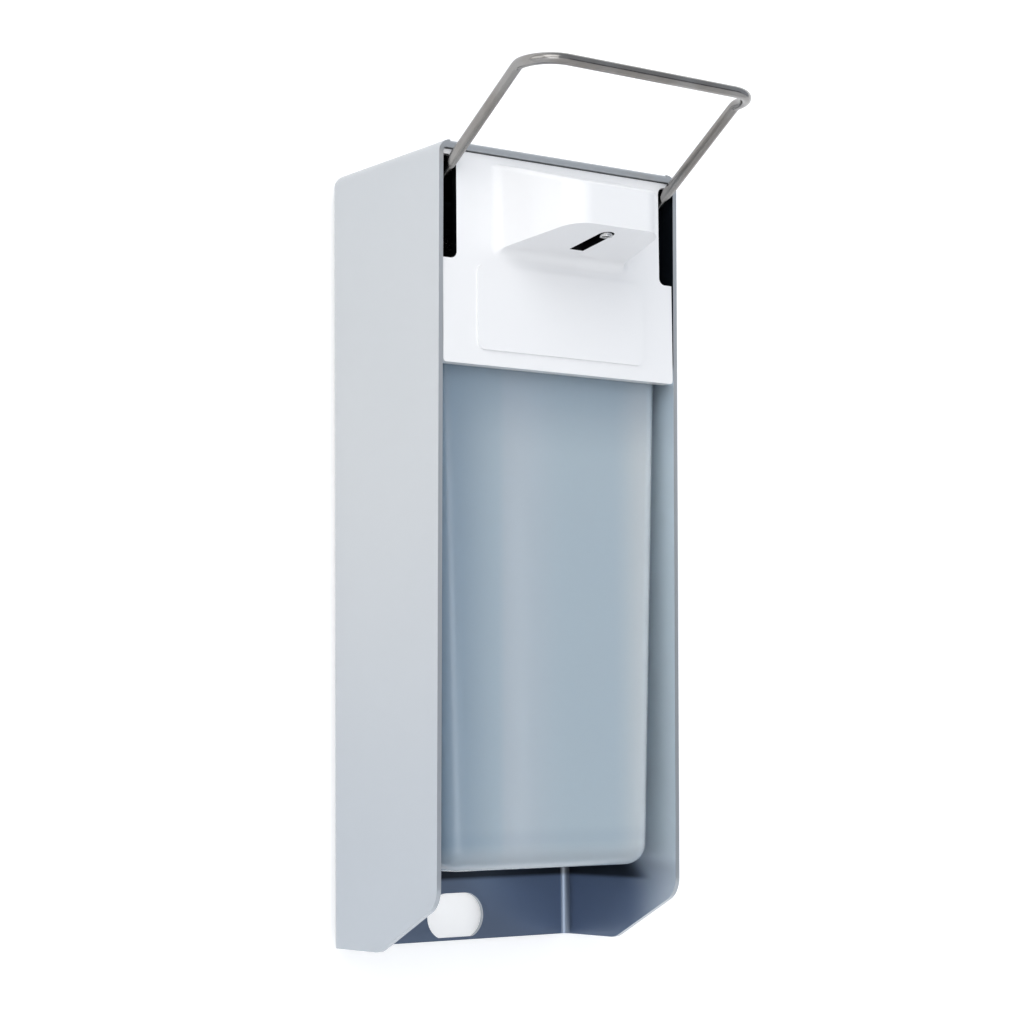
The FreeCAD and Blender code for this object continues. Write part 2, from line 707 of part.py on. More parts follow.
def make_chassis_rivets():
    """Four rivets that hold the chassis to the housing's back."""
    body = new_body("chassis_rivets", height=TOP)
    shanks = new_sketch(body, "XZ_Plane", "{plate_thickness} + {hole_gap}")
    heads = new_sketch(body, "XZ_Plane", "{plate_thickness} + {sheet} + {chassis_wall}")
    for side in ("-", ""):
        for level in ("{rivet_lower}", "{rivet_upper}"):
            place = side + RIVET_X
            draw_circle(shanks, place, level, "{rivet_radius}")
            draw_circle(heads, place, level, "{rivet_head_radius}")
    feature(body, "Pad", shanks, "{sheet} + {chassis_wall} - {hole_gap}")
    feature(body, "Pad", heads, "{rivet_head_height}")
    front = "(-{plate_thickness} - {sheet} - {chassis_wall} - {rivet_head_height})"
    dress(body, "Fillet", pick_edges(body, y=front), "{rivet_round}")
    return body


def loft(body, kind, sections):
    """Add or take away a ruled loft between sketches."""
    item = body.newObject("PartDesign::" + kind, body.Label + "_" + kind.lower())
    item.Profile = sections[0]
    item.Sections = sections[1:]
    item.Ruled = True
    doc.recompute()
    return item


def make_front_cover():
    """The white cover: plate, rim, lever slots, hollow nose, label recess and two sockets."""
    body = new_body("front_cover", height=TOP)
    slot_edge = "(" + INNER_HALF + " - {slot_width})"
    plate = new_sketch(body, "XZ_Plane", "-" + COVER_BACK)
    right = [(COVER_HALF, "{cover_bottom}"), (COVER_HALF, "{slot_bottom}"),
             (slot_edge, "{slot_bottom}"), (slot_edge, "{slot_top}"),
             (COVER_HALF, "{slot_top}"), (COVER_HALF, COVER_TOP)]
    left = [("-" + across, up) for across, up in reversed(right)]
    draw_lines(plate, right + left)
    feature(body, "Pad", plate, "{cover_wall}")
    slot_corners = pick_edges(body, along="Y", x=slot_edge)
    dress(body, "Fillet", slot_corners, "{slot_round}")

    rim = new_sketch(body, "XZ_Plane", "-" + COVER_BACK + " - {rim_depth}")
    rim_top = "({slot_bottom} - {slot_round})"
    inner = "(" + COVER_HALF + " - {rim_width})"
    inner_bottom = "({cover_bottom} + {rim_width})"
    draw_lines(rim, [("-" + COVER_HALF, rim_top), ("-" + COVER_HALF, "{cover_bottom}"),
                     (COVER_HALF, "{cover_bottom}"), (COVER_HALF, rim_top), (inner, rim_top),
                     (inner, inner_bottom), ("-" + inner, inner_bottom), ("-" + inner, rim_top)])
    feature(body, "Pad", rim, "{rim_depth}")
    corners = pick_edges(body, along="Y", x=COVER_HALF, height="{cover_bottom}")
    corners += pick_edges(body, along="Y", x=COVER_HALF, height=COVER_TOP)
    dress(body, "Fillet", corners, "{cover_corner}")

    root = new_sketch(body, "XZ_Plane", "-" + COVER_Y + " - {cover_wall} / 2")
    draw_box(root, "-{nose_root_half_width}", "{nose_root_floor}", "{nose_root_half_width}",
             "{nose_root_top}")
    front = new_sketch(body, "XZ_Plane", "-" + COVER_Y + " + {nose_reach}")
    draw_box(front, "-{nose_front_half_width}", "{nose_floor}", "{nose_front_half_width}",
             "{nose_front_top}")
    loft(body, "AdditiveLoft", [root, front])
    nose_front = "(" + COVER_Y + " - {nose_reach})"
    dress(body, "Fillet", pick_edges(body, along="Z", y=nose_front), "{nose_corner}")

    sunk = number("{cover_wall} / 2") / number("{nose_reach} + {cover_wall} / 2")
    floor_line = number("{nose_root_floor}") + sunk * number("{nose_floor} - {nose_root_floor}")
    side_line = (number("{nose_root_half_width}")
                 + sunk * number("{nose_front_half_width} - {nose_root_half_width}"))

    def at_root(edge):
        """An edge where the nose's sides or sloping floor meet the plate."""
        box = edge.BoundBox
        flat = box.YLength < TOLERANCE and abs(box.Center.y - number(COVER_Y)) < TOLERANCE
        side = box.XLength < TOLERANCE and abs(abs(box.Center.x) - side_line) < TOLERANCE
        floor = box.ZLength < TOLERANCE and abs(box.Center.z - floor_line) < TOLERANCE
        return flat and (side or floor)

    dress(body, "Fillet", pick_edges(body, test=at_root), "{nose_root_blend}")

    def around_top(edge):
        """An edge that runs round the nose's sloping top, ahead of the plate."""
        box = edge.BoundBox
        ahead = box.YMin < number(COVER_Y) - number("{nose_root_blend}") / 2
        return ahead and box.ZMin > number("{nose_front_top}") - TOLERANCE

    dress(body, "Fillet", pick_edges(body, test=around_top), "{nose_top_round}")

    behind = new_sketch(body, "XZ_Plane", "-" + COVER_BACK + " - {rim_depth}")
    draw_box(behind, "-{nose_root_half_width} + {nose_wall}", "{nose_root_floor} + {nose_wall}",
             "{nose_root_half_width} - {nose_wall}", "{nose_root_top} - {nose_wall}")
    ahead = new_sketch(body, "XZ_Plane", "-" + COVER_Y + " + {nose_reach} - {nose_wall}")
    draw_box(ahead, "-{nose_front_half_width} + {nose_wall}", "{nose_floor} + {nose_wall}",
             "{nose_front_half_width} - {nose_wall}", "{nose_front_top} - {nose_wall}")
    loft(body, "SubtractiveLoft", [behind, ahead])

    nozzle = new_sketch(body, "XY_Plane", "{nose_root_floor} - {nose_wall}")
    half = "{nozzle_slot_half_width}"
    slot_rear = "(" + COVER_Y + " - {nozzle_slot_start})"
    slot_front = "(-{plate_thickness} - {nozzle_depth})"
    draw_lines(nozzle, [(half, slot_front), (half, slot_rear), ("-" + half, slot_rear),
                        ("-" + half, slot_front)], closed=False)
    arc = draw_arc(nozzle, (ZERO, slot_front), ("-" + half, slot_front),
                   (half, slot_front), half)
    nozzle.addConstraint(Sketcher.Constraint("Coincident", 0, 1, arc, 2))
    nozzle.addConstraint(Sketcher.Constraint("Coincident", 2, 2, arc, 1))
    cut(body, nozzle, "{nose_floor} - {nose_root_floor} + 3 * {nose_wall}")

    label = new_sketch(body, "XZ_Plane", "-" + COVER_Y + " - {label_depth}")
    draw_box(label, "-{label_half_width}", "{label_bottom}", "{label_half_width}", "{label_top}")
    cut(body, label, "{cover_wall}")
    dress(body, "Fillet", pick_edges(body, along="Y", x="{label_half_width}"), "{label_corner}")

    shelf_bottom = "(" + COLLAR_BOTTOM + " - {chassis_wall})"
    skirt = "(" + SKIRT_OUTSIDE + " + {fork_gap})"
    block = new_sketch(body, "XZ_Plane", "-" + COVER_BACK + " - {socket_depth}")
    hollow = new_sketch(body, "XZ_Plane", "-" + COVER_BACK + " - 2 * {socket_depth}")
    for side in ("-", ""):
        inner = f"{side}({skirt} - {{socket_gap}})"
        outer = f"{side}({{fork_outside}} + {{socket_gap}})"
        wall = f"{side}{{socket_wall}}"
        low = shelf_bottom + " - {socket_gap}"
        high = COLLAR_BOTTOM + " + {socket_gap}"
        draw_box(block, f"{inner} - ({wall})", f"{low} - {{socket_wall}}",
                 f"{outer} + ({wall})", f"{high} + {{socket_wall}}")
        draw_box(hollow, inner, low, outer, high)
    feature(body, "Pad", block, "{socket_depth}")
    cut(body, hollow, "2 * {socket_depth}")
    return body


def rounded_route(corners, radii):
    """A wire of straight runs through corners in space, with a tangent arc at each inner one."""
    edges = []
    start = corners[0]
    for before, here, after, radius in zip(corners, corners[1:], corners[2:], radii):
        back = (before - here).normalize()
        onward = (after - here).normalize()
        half_turn = (math.pi - back.getAngle(onward)) / 2
        arrive = here + back * radius * math.tan(half_turn)
        leave = here + onward * radius * math.tan(half_turn)
        inward = (back + onward).normalize()
        crown = here + inward * radius * (1 / math.cos(half_turn) - 1)
        edges.append(Part.LineSegment(start, arrive).toShape())
        edges.append(Part.Arc(arrive, crown, leave).toShape())
        start = leave
    edges.append(Part.LineSegment(start, corners[-1]).toShape())
    return Part.Wire(edges)


def swept_wire(label, path, radius):
    """A solid round wire along a path."""
    first = path.Edges[0]
    start = first.valueAt(first.FirstParameter)
    circle = Part.Circle(start, first.tangentAt(first.FirstParameter), radius)
    sweep = Part.BRepOffsetAPI.MakePipeShell(path)
    sweep.add(Part.Wire([circle.toShape()]))
    sweep.build()
    sweep.makeSolid()
    item = doc.addObject("Part::Feature", label)
    item.Label = label
    item.Shape = sweep.shape()
    section_times_length = math.pi * radius ** 2 * path.Length
    print(f"{label}: volume {item.Shape.Volume:.1f} mm3, section times length"
          f" {section_times_length:.1f} mm3")
    return item


def make_lever_bail():
    """The bail: one wire with turned-in pins, two arms and a bow bent down at the knees."""
    pin = number(PIN_INSIDE)
    half = number(ARM_X)
    knee = number("{arm_length}")
    drop = math.radians(number("{bow_drop}"))
    front = knee + number("{bow_length}") * math.cos(drop)
    fall = number("{bow_length}") * math.sin(drop)
    right = [Vector(pin, 0, 0), Vector(half, 0, 0), Vector(half, -knee, 0),
             Vector(half, -front, -fall)]
    left = [Vector(-corner.x, corner.y, corner.z) for corner in right]
    bends = [number("{pivot_bend}"), number("{knee_bend}"), number("{bow_bend}")]
    path = rounded_route(left + right[::-1], bends + bends[::-1])
    bail = swept_wire("lever_bail", path, number("{wire_radius}"))
    place(bail, PIVOT_Y, PIVOT_Z, "-{rest_angle}")
    return bail


def make_press_bar():
    """The bar welded between the arms, its ends coped to the wire."""
    body = new_body("press_bar", PIVOT_Y, PIVOT_Z, "-{rest_angle}")
    section = new_sketch(body, "YZ_Plane")
    draw_circle(section, "-{press_bar_reach}", ZERO, "{press_bar_radius}")
    feature(body, "Pad", section, "2 * " + ARM_X, middle=True)
    cope = new_sketch(body, "XZ_Plane")
    for side in ("-", ""):
        draw_circle(cope, side + ARM_X, ZERO, "{wire_radius}")
    cut(body, cope, "2 * {press_bar_reach}")
    return body


def tube_along_x(label, reach, inner, outer, start, end, both=True, tilt=None):
    """Rings about a cross axis, one on each side, that reach from start to end along X."""
    body = new_body(label, PIVOT_Y, PIVOT_Z, tilt)
    for side in (("-", "") if both else ("",)):
        ring = new_sketch(body, "YZ_Plane", f"{side}(({start}) + ({end})) / 2")
        draw_circle(ring, reach, ZERO, outer)
        draw_circle(ring, reach, ZERO, inner)
        feature(body, "Pad", ring, f"({end}) - ({start})", middle=True)
    return body


def make_bearings():
    """Flanged bushes in the ears and the rings that keep the wire's ends in them."""
    bush = tube_along_x("pivot_bushes", ZERO, "{wire_radius} + {running_gap}", "{bush_radius}",
                        EAR_INSIDE, EAR_OUTSIDE)
    for side in ("-", ""):
        middle = f"{side}({EAR_OUTSIDE} + {{bush_flange}} / 2)"
        flange = new_sketch(bush, "YZ_Plane", middle)
        draw_circle(flange, ZERO, ZERO, "{bush_flange_radius}")
        draw_circle(flange, ZERO, ZERO, "{wire_radius} + {running_gap}")
        feature(bush, "Pad", flange, "{bush_flange}", middle=True)
    tube_along_x("retaining_rings", ZERO, "{wire_radius}", "{ring_radius}",
                 EAR_INSIDE + " - {axial_gap} - {ring_thickness}", EAR_INSIDE + " - {axial_gap}",
                 tilt="-{rest_angle}")


def make_press_sleeve():
    """The nylon sleeve on the middle of the press bar."""
    sleeve = tube_along_x("press_sleeve", "-{press_bar_reach}", "{press_bar_radius}",
                          "{sleeve_radius}", "-{sleeve_half_width}", "{sleeve_half_width}",
                          both=False, tilt="-{rest_angle}")

    def outer_rim(edge):
        """One of the two outer rims."""
        return abs(edge.BoundBox.ZLength - 2 * number("{sleeve_radius}")) < TOLERANCE

    dress(sleeve, "Fillet", pick_edges(sleeve, x="{sleeve_half_width}", test=outer_rim),
          "{sleeve_round}")
    return sleeve


def make_press_cap():
    """The cap on the rod that the sleeve pushes down."""
    bottom = "(" + CAP_TOP + " - {cap_thickness})"
    cap = turned("press_cap", [("{rod_radius}", bottom), ("{cap_radius}", bottom),
                               ("{cap_radius}", CAP_TOP), (ZERO, CAP_TOP),
                               (ZERO, CAP_TOP + " - {cap_cover}"),
                               ("{rod_radius}", CAP_TOP + " - {cap_cover}")])
    rims = pick_edges(cap, height=CAP_TOP)
    dress(cap, "Fillet", rims, "{cap_round}")
    return cap


def make_piston():
    """Rod, piston and seal ring, which move together with the cap."""
    rod_bottom = "({piston_bottom} + {piston_floor})"
    rod_top = "(" + CAP_TOP + " - {cap_cover})"
    turned("piston_rod", [(ZERO, rod_bottom), ("{rod_radius}", rod_bottom),
                          ("{rod_radius}", rod_top), (ZERO, rod_top)])
    top = "({piston_bottom} + {piston_height})"
    groove = "({bore_radius} - {running_gap} - 2 * {seal_wire})"
    low = "({seal_height} - {seal_groove} / 2)"
    high = "({seal_height} + {seal_groove} / 2)"
    turned("piston", [(ZERO, "{piston_bottom}"), ("{piston_radius}", "{piston_bottom}"),
                      ("{piston_radius}", low), (groove, low), (groove, high),
                      ("{piston_radius}", high), ("{piston_radius}", top), ("{rod_radius}", top),
                      ("{rod_radius}", rod_bottom), (ZERO, rod_bottom)])
    seal = doc.addObject("Part::Torus", "piston_seal")
    seal.Label = "piston_seal"
    bind(seal, "Radius1", "{bore_radius} - {running_gap} - {seal_wire}")
    bind(seal, "Radius2", "{seal_wire}")
    place(seal, PUMP_Y, TOP + " + {seal_height}")


def make_pump_head():
    """The screw cap of the pump with its collar, cup, outlet boss and drilled passages."""
    cup_inside = "({cap_radius} + {head_cup_gap})"
    cup_top = "(" + HEAD_TOP + " + {head_cup_rise})"
    head = turned("pump_head", [
        ("{guide_radius}", HEAD_BOTTOM), (SKIRT_INSIDE, HEAD_BOTTOM),
        (SKIRT_INSIDE, "{head_skirt_bottom}"), (SKIRT_OUTSIDE, "{head_skirt_bottom}"),
        (SKIRT_OUTSIDE, COLLAR_BOTTOM), ("{collar_radius}", COLLAR_BOTTOM),
        ("{collar_radius}", HEAD_BOTTOM), ("{head_cup_radius}", HEAD_TOP),
        ("{head_cup_radius}", cup_top), (cup_inside, cup_top), (cup_inside, HEAD_TOP),
        ("{guide_radius}", HEAD_TOP)])
    centre = "-{outlet_ahead}"
    boss = new_sketch(head, "XY_Plane", HEAD_BOTTOM)
    draw_circle(boss, ZERO, centre, "{boss_radius}")
    feature(head, "Pad", boss, "{boss_shoulder} - " + HEAD_BOTTOM)
    neck = new_sketch(head, "XY_Plane", "{boss_shoulder}")
    draw_circle(neck, ZERO, centre, "{boss_neck_radius}")
    feature(head, "Pad", neck, "{boss_top} - {boss_shoulder}")
    chamber = new_sketch(head, "XY_Plane", "{outlet_seat_height}")
    draw_circle(chamber, ZERO, centre, "{outlet_bore}")
    cut(head, chamber, "{boss_top} - {outlet_seat_height}")
    seat = new_sketch(head, "XY_Plane", "{passage_height}")
    draw_circle(seat, ZERO, centre, "{outlet_seat_radius}")
    cut(head, seat, "{outlet_seat_height} - {passage_height}")
    port = new_sketch(head, "XY_Plane", HEAD_BOTTOM)
    draw_circle(port, ZERO, "-{port_offset}", "{port_radius}")
    cut(head, port, "{passage_height} - " + HEAD_BOTTOM)
    passage = new_sketch(head, "XZ_Plane", "{port_offset}")
    draw_circle(passage, ZERO, "{passage_height}", "{passage_radius}")
    cut(head, passage, "{outlet_ahead} - {port_offset}")
    return head


def make_rod_guide():
    """The guide bush of the rod with the wiper ring in its top."""
    bore = "({rod_radius} + {running_gap})"
    ledge = "(" + HEAD_TOP + " - {wiper_height})"
    flange_bottom = "(" + HEAD_BOTTOM + " - {guide_flange})"
    turned("rod_guide", [(bore, "{guide_bottom}"), ("{guide_radius}", "{guide_bottom}"),
                         ("{guide_radius}", flange_bottom),
                         ("{guide_flange_radius}", flange_bottom),
                         ("{guide_flange_radius}", HEAD_BOTTOM), ("{guide_radius}", HEAD_BOTTOM),
                         ("{guide_radius}", HEAD_TOP), ("{wiper_radius}", HEAD_TOP),
                         ("{wiper_radius}", ledge), (bore, ledge)])
    turned("rod_wiper", [(bore, ledge), ("{wiper_radius}", ledge), ("{wiper_radius}", HEAD_TOP),
                         (bore, HEAD_TOP)])


def make_pump_barrel():
    """Gasket, cylinder and jacket that hang in the bottle's neck."""
    turned("neck_gasket", [("{flange_radius} + {thread_gap}", "{neck_top}"),
                           ("{neck_radius}", "{neck_top}"), ("{neck_radius}", HEAD_BOTTOM),
                           ("{flange_radius} + {thread_gap}", HEAD_BOTTOM)])
    base = "({valve_bottom} + {valve_flange})"
    flange_bottom = "(" + HEAD_BOTTOM + " - {flange_height})"
    cylinder = turned("pump_cylinder", [
        ("{bore_radius}", base), (CYLINDER_OUTSIDE, base), (CYLINDER_OUTSIDE, flange_bottom),
        ("{flange_radius}", flange_bottom), ("{flange_radius}", HEAD_BOTTOM),
        ("{bore_radius}", HEAD_BOTTOM)])
    port = new_sketch(cylinder, "XY_Plane", flange_bottom)
    draw_circle(port, ZERO, "-{port_offset}", "{port_radius}")
    cut(cylinder, port, "{flange_height}")
    cross = new_sketch(cylinder, "YZ_Plane")
    draw_circle(cross, ZERO, "{valve_bottom} + {cross_port_rise}", "{cross_port_radius}")
    cut(cylinder, cross, "4 * {bore_radius}", middle=True)
    jacket_top = flange_bottom
    jacket_flange = "(" + flange_bottom + " - {jacket_flange})"
    turned("pump_jacket", [("{jacket_bore}", base), (JACKET_OUTSIDE, base),
                           (JACKET_OUTSIDE, jacket_flange), ("{flange_radius}", jacket_flange),
                           ("{flange_radius}", jacket_top), ("{jacket_bore}", jacket_top)])


def make_inlet():
    """The inlet valve with its ball and the dip tube on its spigot."""
    base = "({valve_bottom} + {valve_flange})"
    plug = "({bore_radius} - {valve_gap})"
    spigot = "({dip_tube_radius} - {dip_tube_wall})"
    spigot_bottom = "({valve_bottom} - {spigot_length})"
    chamber_top = "({valve_seat_height} + {valve_chamber_height})"
    turned("inlet_valve", [
        ("{valve_seat_radius}", spigot_bottom), (spigot, spigot_bottom), (spigot, "{valve_bottom}"),
        (JACKET_OUTSIDE, "{valve_bottom}"), (JACKET_OUTSIDE, base), (plug, base),
        (plug, "{valve_top}"), ("{valve_seat_radius}", "{valve_top}"),
        ("{valve_seat_radius}", chamber_top), ("{valve_chamber_radius}", chamber_top),
        ("{valve_chamber_radius}", "{valve_seat_height}"),
        ("{valve_seat_radius}", "{valve_seat_height}")])
    make_ball("inlet_ball", PUMP_Y, "{valve_seat_height}", "{valve_seat_radius}")
    tube_bottom = "({dip_tube_bottom} - {housing_height})"
    tube = turned("dip_tube", [(spigot, tube_bottom), ("{dip_tube_radius}", tube_bottom),
                               ("{dip_tube_radius}", "{valve_bottom}"),
                               (spigot, "{valve_bottom}")])
    slant = new_sketch(tube, "YZ_Plane")
    side = "2 * {dip_tube_radius}"
    draw_lines(slant, [("-" + side, tube_bottom + " - {dip_tube_radius}"),
                       (side, tube_bottom + " - {dip_tube_radius}"),
                       (side, tube_bottom + " + " + side)])
    cut(tube, slant, "4 * {dip_tube_radius}", middle=True)


def ball_height(seat_height, seat_radius):
    """The height of a ball's centre just above its seat."""
    return f"({seat_height} + sqrt({{ball_radius}} ^ 2 - {seat_radius} ^ 2) + {{ball_gap}})"


def make_ball(label, y, seat_height, seat_radius):
    """A valve ball just above its seat."""
    ball = doc.addObject("Part::Sphere", label)
    ball.Label = label
    bind(ball, "Radius", "{ball_radius}")
    place(ball, y, TOP + " + " + ball_height(seat_height, seat_radius))
    return ball


def make_outlet():
    """The outlet ball, the bent nozzle tube with its collar and the union nut."""
    make_ball("outlet_ball", OUTLET_Y, "{outlet_seat_height}", "{outlet_seat_radius}")

    tube = new_body("outlet_tube", height=TOP)
    path = new_sketch(tube, "YZ_Plane")
    nozzle_y = "(-{plate_thickness} - {nozzle_depth})"
    draw_bent_path(path, [(OUTLET_Y, "{boss_top}"), (OUTLET_Y, "{tube_level}"),
                          (nozzle_y, "{tube_level}"), (nozzle_y, "{nozzle_end}")],
                   ["{tube_rise_bend}", "{nozzle_bend}"])
    section = new_sketch(tube, "XY_Plane", "{boss_top}")
    draw_circle(section, ZERO, OUTLET_Y, "{tube_radius}")
    draw_circle(section, ZERO, OUTLET_Y, "{tube_bore}")
    doc.recompute()
    pipe = tube.newObject("PartDesign::AdditivePipe", "outlet_tube_pipe")
    pipe.Profile = section
    pipe.Spine = (path, [])
    doc.recompute()
    collar = new_sketch(tube, "XY_Plane", "{boss_top}")
    draw_circle(collar, ZERO, OUTLET_Y, "{tube_collar_radius}")
    draw_circle(collar, ZERO, OUTLET_Y, "{tube_bore}")
    feature(tube, "Pad", collar, "{tube_collar}")

    ceiling = "({boss_top} + {tube_collar})"
    nut = turned("outlet_nut", [
        ("{boss_neck_radius} + {nut_gap}", "{nut_bottom}"), ("{nut_radius}", "{nut_bottom}"),
        ("{nut_radius}", "{nut_top}"), ("{tube_radius} + {nut_gap}", "{nut_top}"),
        ("{tube_radius} + {nut_gap}", ceiling), ("{boss_neck_radius} + {nut_gap}", ceiling)],
        OUTLET_Y)
    flats = new_sketch(nut, "XY_Plane", "{nut_bottom} + {nut_skirt}")
    corners = []
    for step in range(6):
        angle = math.radians(60 * step)
        corners.append((f"{{nut_radius}} * {math.cos(angle):.6f}",
                        f"{{nut_radius}} * {math.sin(angle):.6f}"))
    draw_circle(flats, ZERO, ZERO, "2 * {nut_radius}")
    draw_lines(flats, corners)
    cut(nut, flats, "{nut_top} - {nut_bottom}")


def bottle_form(label, inset, neck_end):
    """A drafted block with round edges and a neck, smaller all round by the inset."""
    body = new_body(label)
    shoulder = "({housing_height} + {bottle_shoulder})"
    low = "({bottle_bottom} + " + inset + ")"
    tall = "(" + shoulder + " - {bottle_bottom} - 2 * " + inset + ")"
    half = "(" + BOTTLE_HALF + " - {bottle_draft} - " + inset + ")"
    front = "(-{plate_thickness} - {bottle_front} + {bottle_draft} + " + inset + ")"
    rear = "(-{plate_thickness} - {bottle_rear} - {bottle_draft} - " + inset + ")"
    foot = new_sketch(body, "XY_Plane", low)
    draw_box(foot, "-" + half, front, half, rear)
    pad = feature(body, "Pad", foot, tall)
    bind(pad, "TaperAngle", f"atan({{bottle_draft}} / {tall})")
    doc.recompute()

    def upright(edge):
        """One of the four long corners."""
        return edge.BoundBox.ZLength > number(tall) - TOLERANCE

    def at_level(height):
        """A test for edges that lie flat at a height."""
        return lambda edge: (edge.BoundBox.ZLength < TOLERANCE
                             and abs(edge.BoundBox.Center.z - number(height)) < TOLERANCE)

    dress(body, "Fillet", pick_edges(body, test=upright), "{bottle_corner} - " + inset)
    dress(body, "Fillet", pick_edges(body, test=at_level(low)), "{bottle_foot_round} - " + inset)
    dress(body, "Fillet", pick_edges(body, test=at_level(low + " + " + tall)),
          "{bottle_shoulder_round} - " + inset)
    neck = new_sketch(body, "XY_Plane", shoulder + " - 2 * {bottle_wall}")
    draw_circle(neck, ZERO, PUMP_Y, "{neck_radius} - " + inset)
    feature(body, "Pad", neck, neck_end + " - {bottle_shoulder} + 2 * {bottle_wall}")
    return body


def make_bottle():
    """The half litre bottle: an outer form less an inner one that is open at the neck."""
    bottle = doc.addObject("Part::Cut", "bottle")
    bottle.Base = bottle_form("bottle_outside", "0 * {bottle_wall}", "{neck_top}")
    bottle.Tool = bottle_form("bottle_inside", "{bottle_wall}", "({neck_top} + {bottle_wall})")
    doc.recompute()
    return bottle


def spring(label, y, bottom, top, radius, wire, turns):
    """A compression spring: one unbroken wire that climbs by quarter turns on arcs."""
    steps = int(round(4 * turns))
    rise = (top - bottom - 2 * wire) / steps
    edges = []
    for step in range(steps):
        samples = []
        for share in (0, 0.5, 1):
            angle = math.pi / 2 * (step + share)
            height = bottom + wire + rise * (step + share)
            samples.append(Vector(radius * math.cos(angle), radius * math.sin(angle), height))
        edges.append(Part.Arc(*samples).toShape())
    item = swept_wire(label, Part.Wire(edges), wire)
    place(item, y, TOP)
    print(f"{label}: gap between turns {4 * rise - 2 * wire:.2f} mm")
    return item


def make_springs():
    """The return spring under the piston and the small spring over the outlet ball."""
    spring("return_spring", PUMP_Y, number("{valve_top}"), number("{piston_bottom}"),
           number("{spring_radius}"), number("{spring_wire}"), number("{spring_turns}"))
    ball_top = number(ball_height("{outlet_seat_height}", "{outlet_seat_radius}")
                      + " + {ball_radius}")
    spring("outlet_spring", OUTLET_Y, ball_top, number("{boss_top}"),
           number("{outlet_spring_radius}"), number("{outlet_spring_wire}"),
           number("{outlet_spring_turns}"))


MAKERS = [
    make_housing, make_wall_plate, make_lock_screw, make_chassis, make_chassis_rivets,
    make_front_cover, make_lever_bail, make_press_bar, make_bearings, make_press_sleeve,
    make_press_cap, make_piston, make_pump_head, make_rod_guide, make_pump_barrel,
    make_inlet, make_outlet, make_bottle, make_springs,
]
for maker in MAKERS:
    maker()
doc.recompute()

for item in doc.Objects:
    if "Invalid" in item.State or "Error" in item.State:
        raise RuntimeError(item.Label + ": " + str(item.State))

KINDS = ("PartDesign::Body", "Part::Cut", "Part::Torus", "Part::Sphere", "Part::Feature")
FORMS = ("bottle_outside", "bottle_inside")
nodes = [item for item in doc.Objects if item.TypeId in KINDS and item.Label not in FORMS]
for node in nodes:
    if node.Shape.isNull() or not node.Shape.isValid() or not node.Shape.Solids:
        raise RuntimeError(node.Label + ": no valid solid")

os.makedirs("parts", exist_ok=True)
for node in nodes:
    node.Shape.exportStep(f"parts/{node.Label}.step")
    print(f"{node.Label}: {len(node.Shape.Solids)} solids, {node.Shape.Volume:.1f} mm3")
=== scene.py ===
"""Looks of a wall soap dispenser with an arm lever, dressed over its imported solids.

Lengths are millimetres in the dataclasses of pieces, and metres in meshes, shaders and the
studio. Heights count from the housing's lower edge, and the frame's origin lies 125 mm above it
on the wall.
"""

import logging
import math
from collections.abc import Callable
from dataclasses import dataclass, field
from enum import Enum

import bmesh
import bpy
from mathutils import Matrix, Vector


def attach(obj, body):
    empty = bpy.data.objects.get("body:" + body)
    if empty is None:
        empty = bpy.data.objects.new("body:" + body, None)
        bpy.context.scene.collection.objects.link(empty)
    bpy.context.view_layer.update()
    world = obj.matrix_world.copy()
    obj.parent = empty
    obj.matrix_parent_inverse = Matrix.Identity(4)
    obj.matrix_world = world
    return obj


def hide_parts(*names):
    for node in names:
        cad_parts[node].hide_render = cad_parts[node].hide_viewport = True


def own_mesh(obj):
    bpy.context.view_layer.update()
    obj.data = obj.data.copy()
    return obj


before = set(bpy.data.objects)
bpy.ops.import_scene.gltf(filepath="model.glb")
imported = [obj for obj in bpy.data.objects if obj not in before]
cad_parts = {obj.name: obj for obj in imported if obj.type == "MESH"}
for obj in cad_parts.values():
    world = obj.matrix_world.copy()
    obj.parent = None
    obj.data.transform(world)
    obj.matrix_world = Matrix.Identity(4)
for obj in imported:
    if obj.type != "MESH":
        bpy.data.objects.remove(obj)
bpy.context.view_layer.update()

LOG = logging.getLogger("soap_dispenser")
MM = 0.001
ORIGIN_HEIGHT = 125.0
SHARP = math.radians(34)
FLAT = math.radians(0.4)
QUARTER = math.pi / 2
WELD = 0.002
HOUSING_WELD = 0.04
TOUCH = 1e-6
WIRE_EDGE = 60.0
DUST_TONE = (0.62, 0.6, 0.57)
# Share of the hollow's painted shade colour that is left where the cover or the bottle casts a
# painted shadow.
PAINTED_SHADOW_SHARE = 0.12
COAT_ROUGHNESS = 0.12
SCATTER_SCALE = 0.004

Socket = bpy.types.NodeSocket
Outputs = bpy.types.bpy_prop_collection
Tree = bpy.types.NodeTree
Material = bpy.types.Material
Item = bpy.types.Object
Solid = bmesh.types.BMesh
Triple = tuple[float, float, float]
Span = tuple[float, float]


class Carrier(Enum):
    """The bodies that the new pieces ride on."""

    STAND = "stand"
    LEVER = "lever"
    PLUNGER = "plunger"


class Slot(Enum):
    """The material slots of the record."""

    SHEET = "anodised_sheet"
    ZINC = "zinc_plate"
    SCREW = "steel_screw"
    RIVET = "alloy_rivet"
    DARK = "dark_moulding"
    WHITE = "white_moulding"
    ACETAL = "acetal"
    PUMP_WHITE = "white_pump_plastic"
    PUMP_CLEAR = "clear_pump_plastic"
    TUBE = "tube_plastic"
    BOTTLE = "bottle_plastic"
    RUBBER = "seal_rubber"
    NYLON = "nylon"
    SATIN = "satin_steel"
    PIPE = "steel_tube"
    SPRING = "spring_wire"
    BALL = "ball_steel"


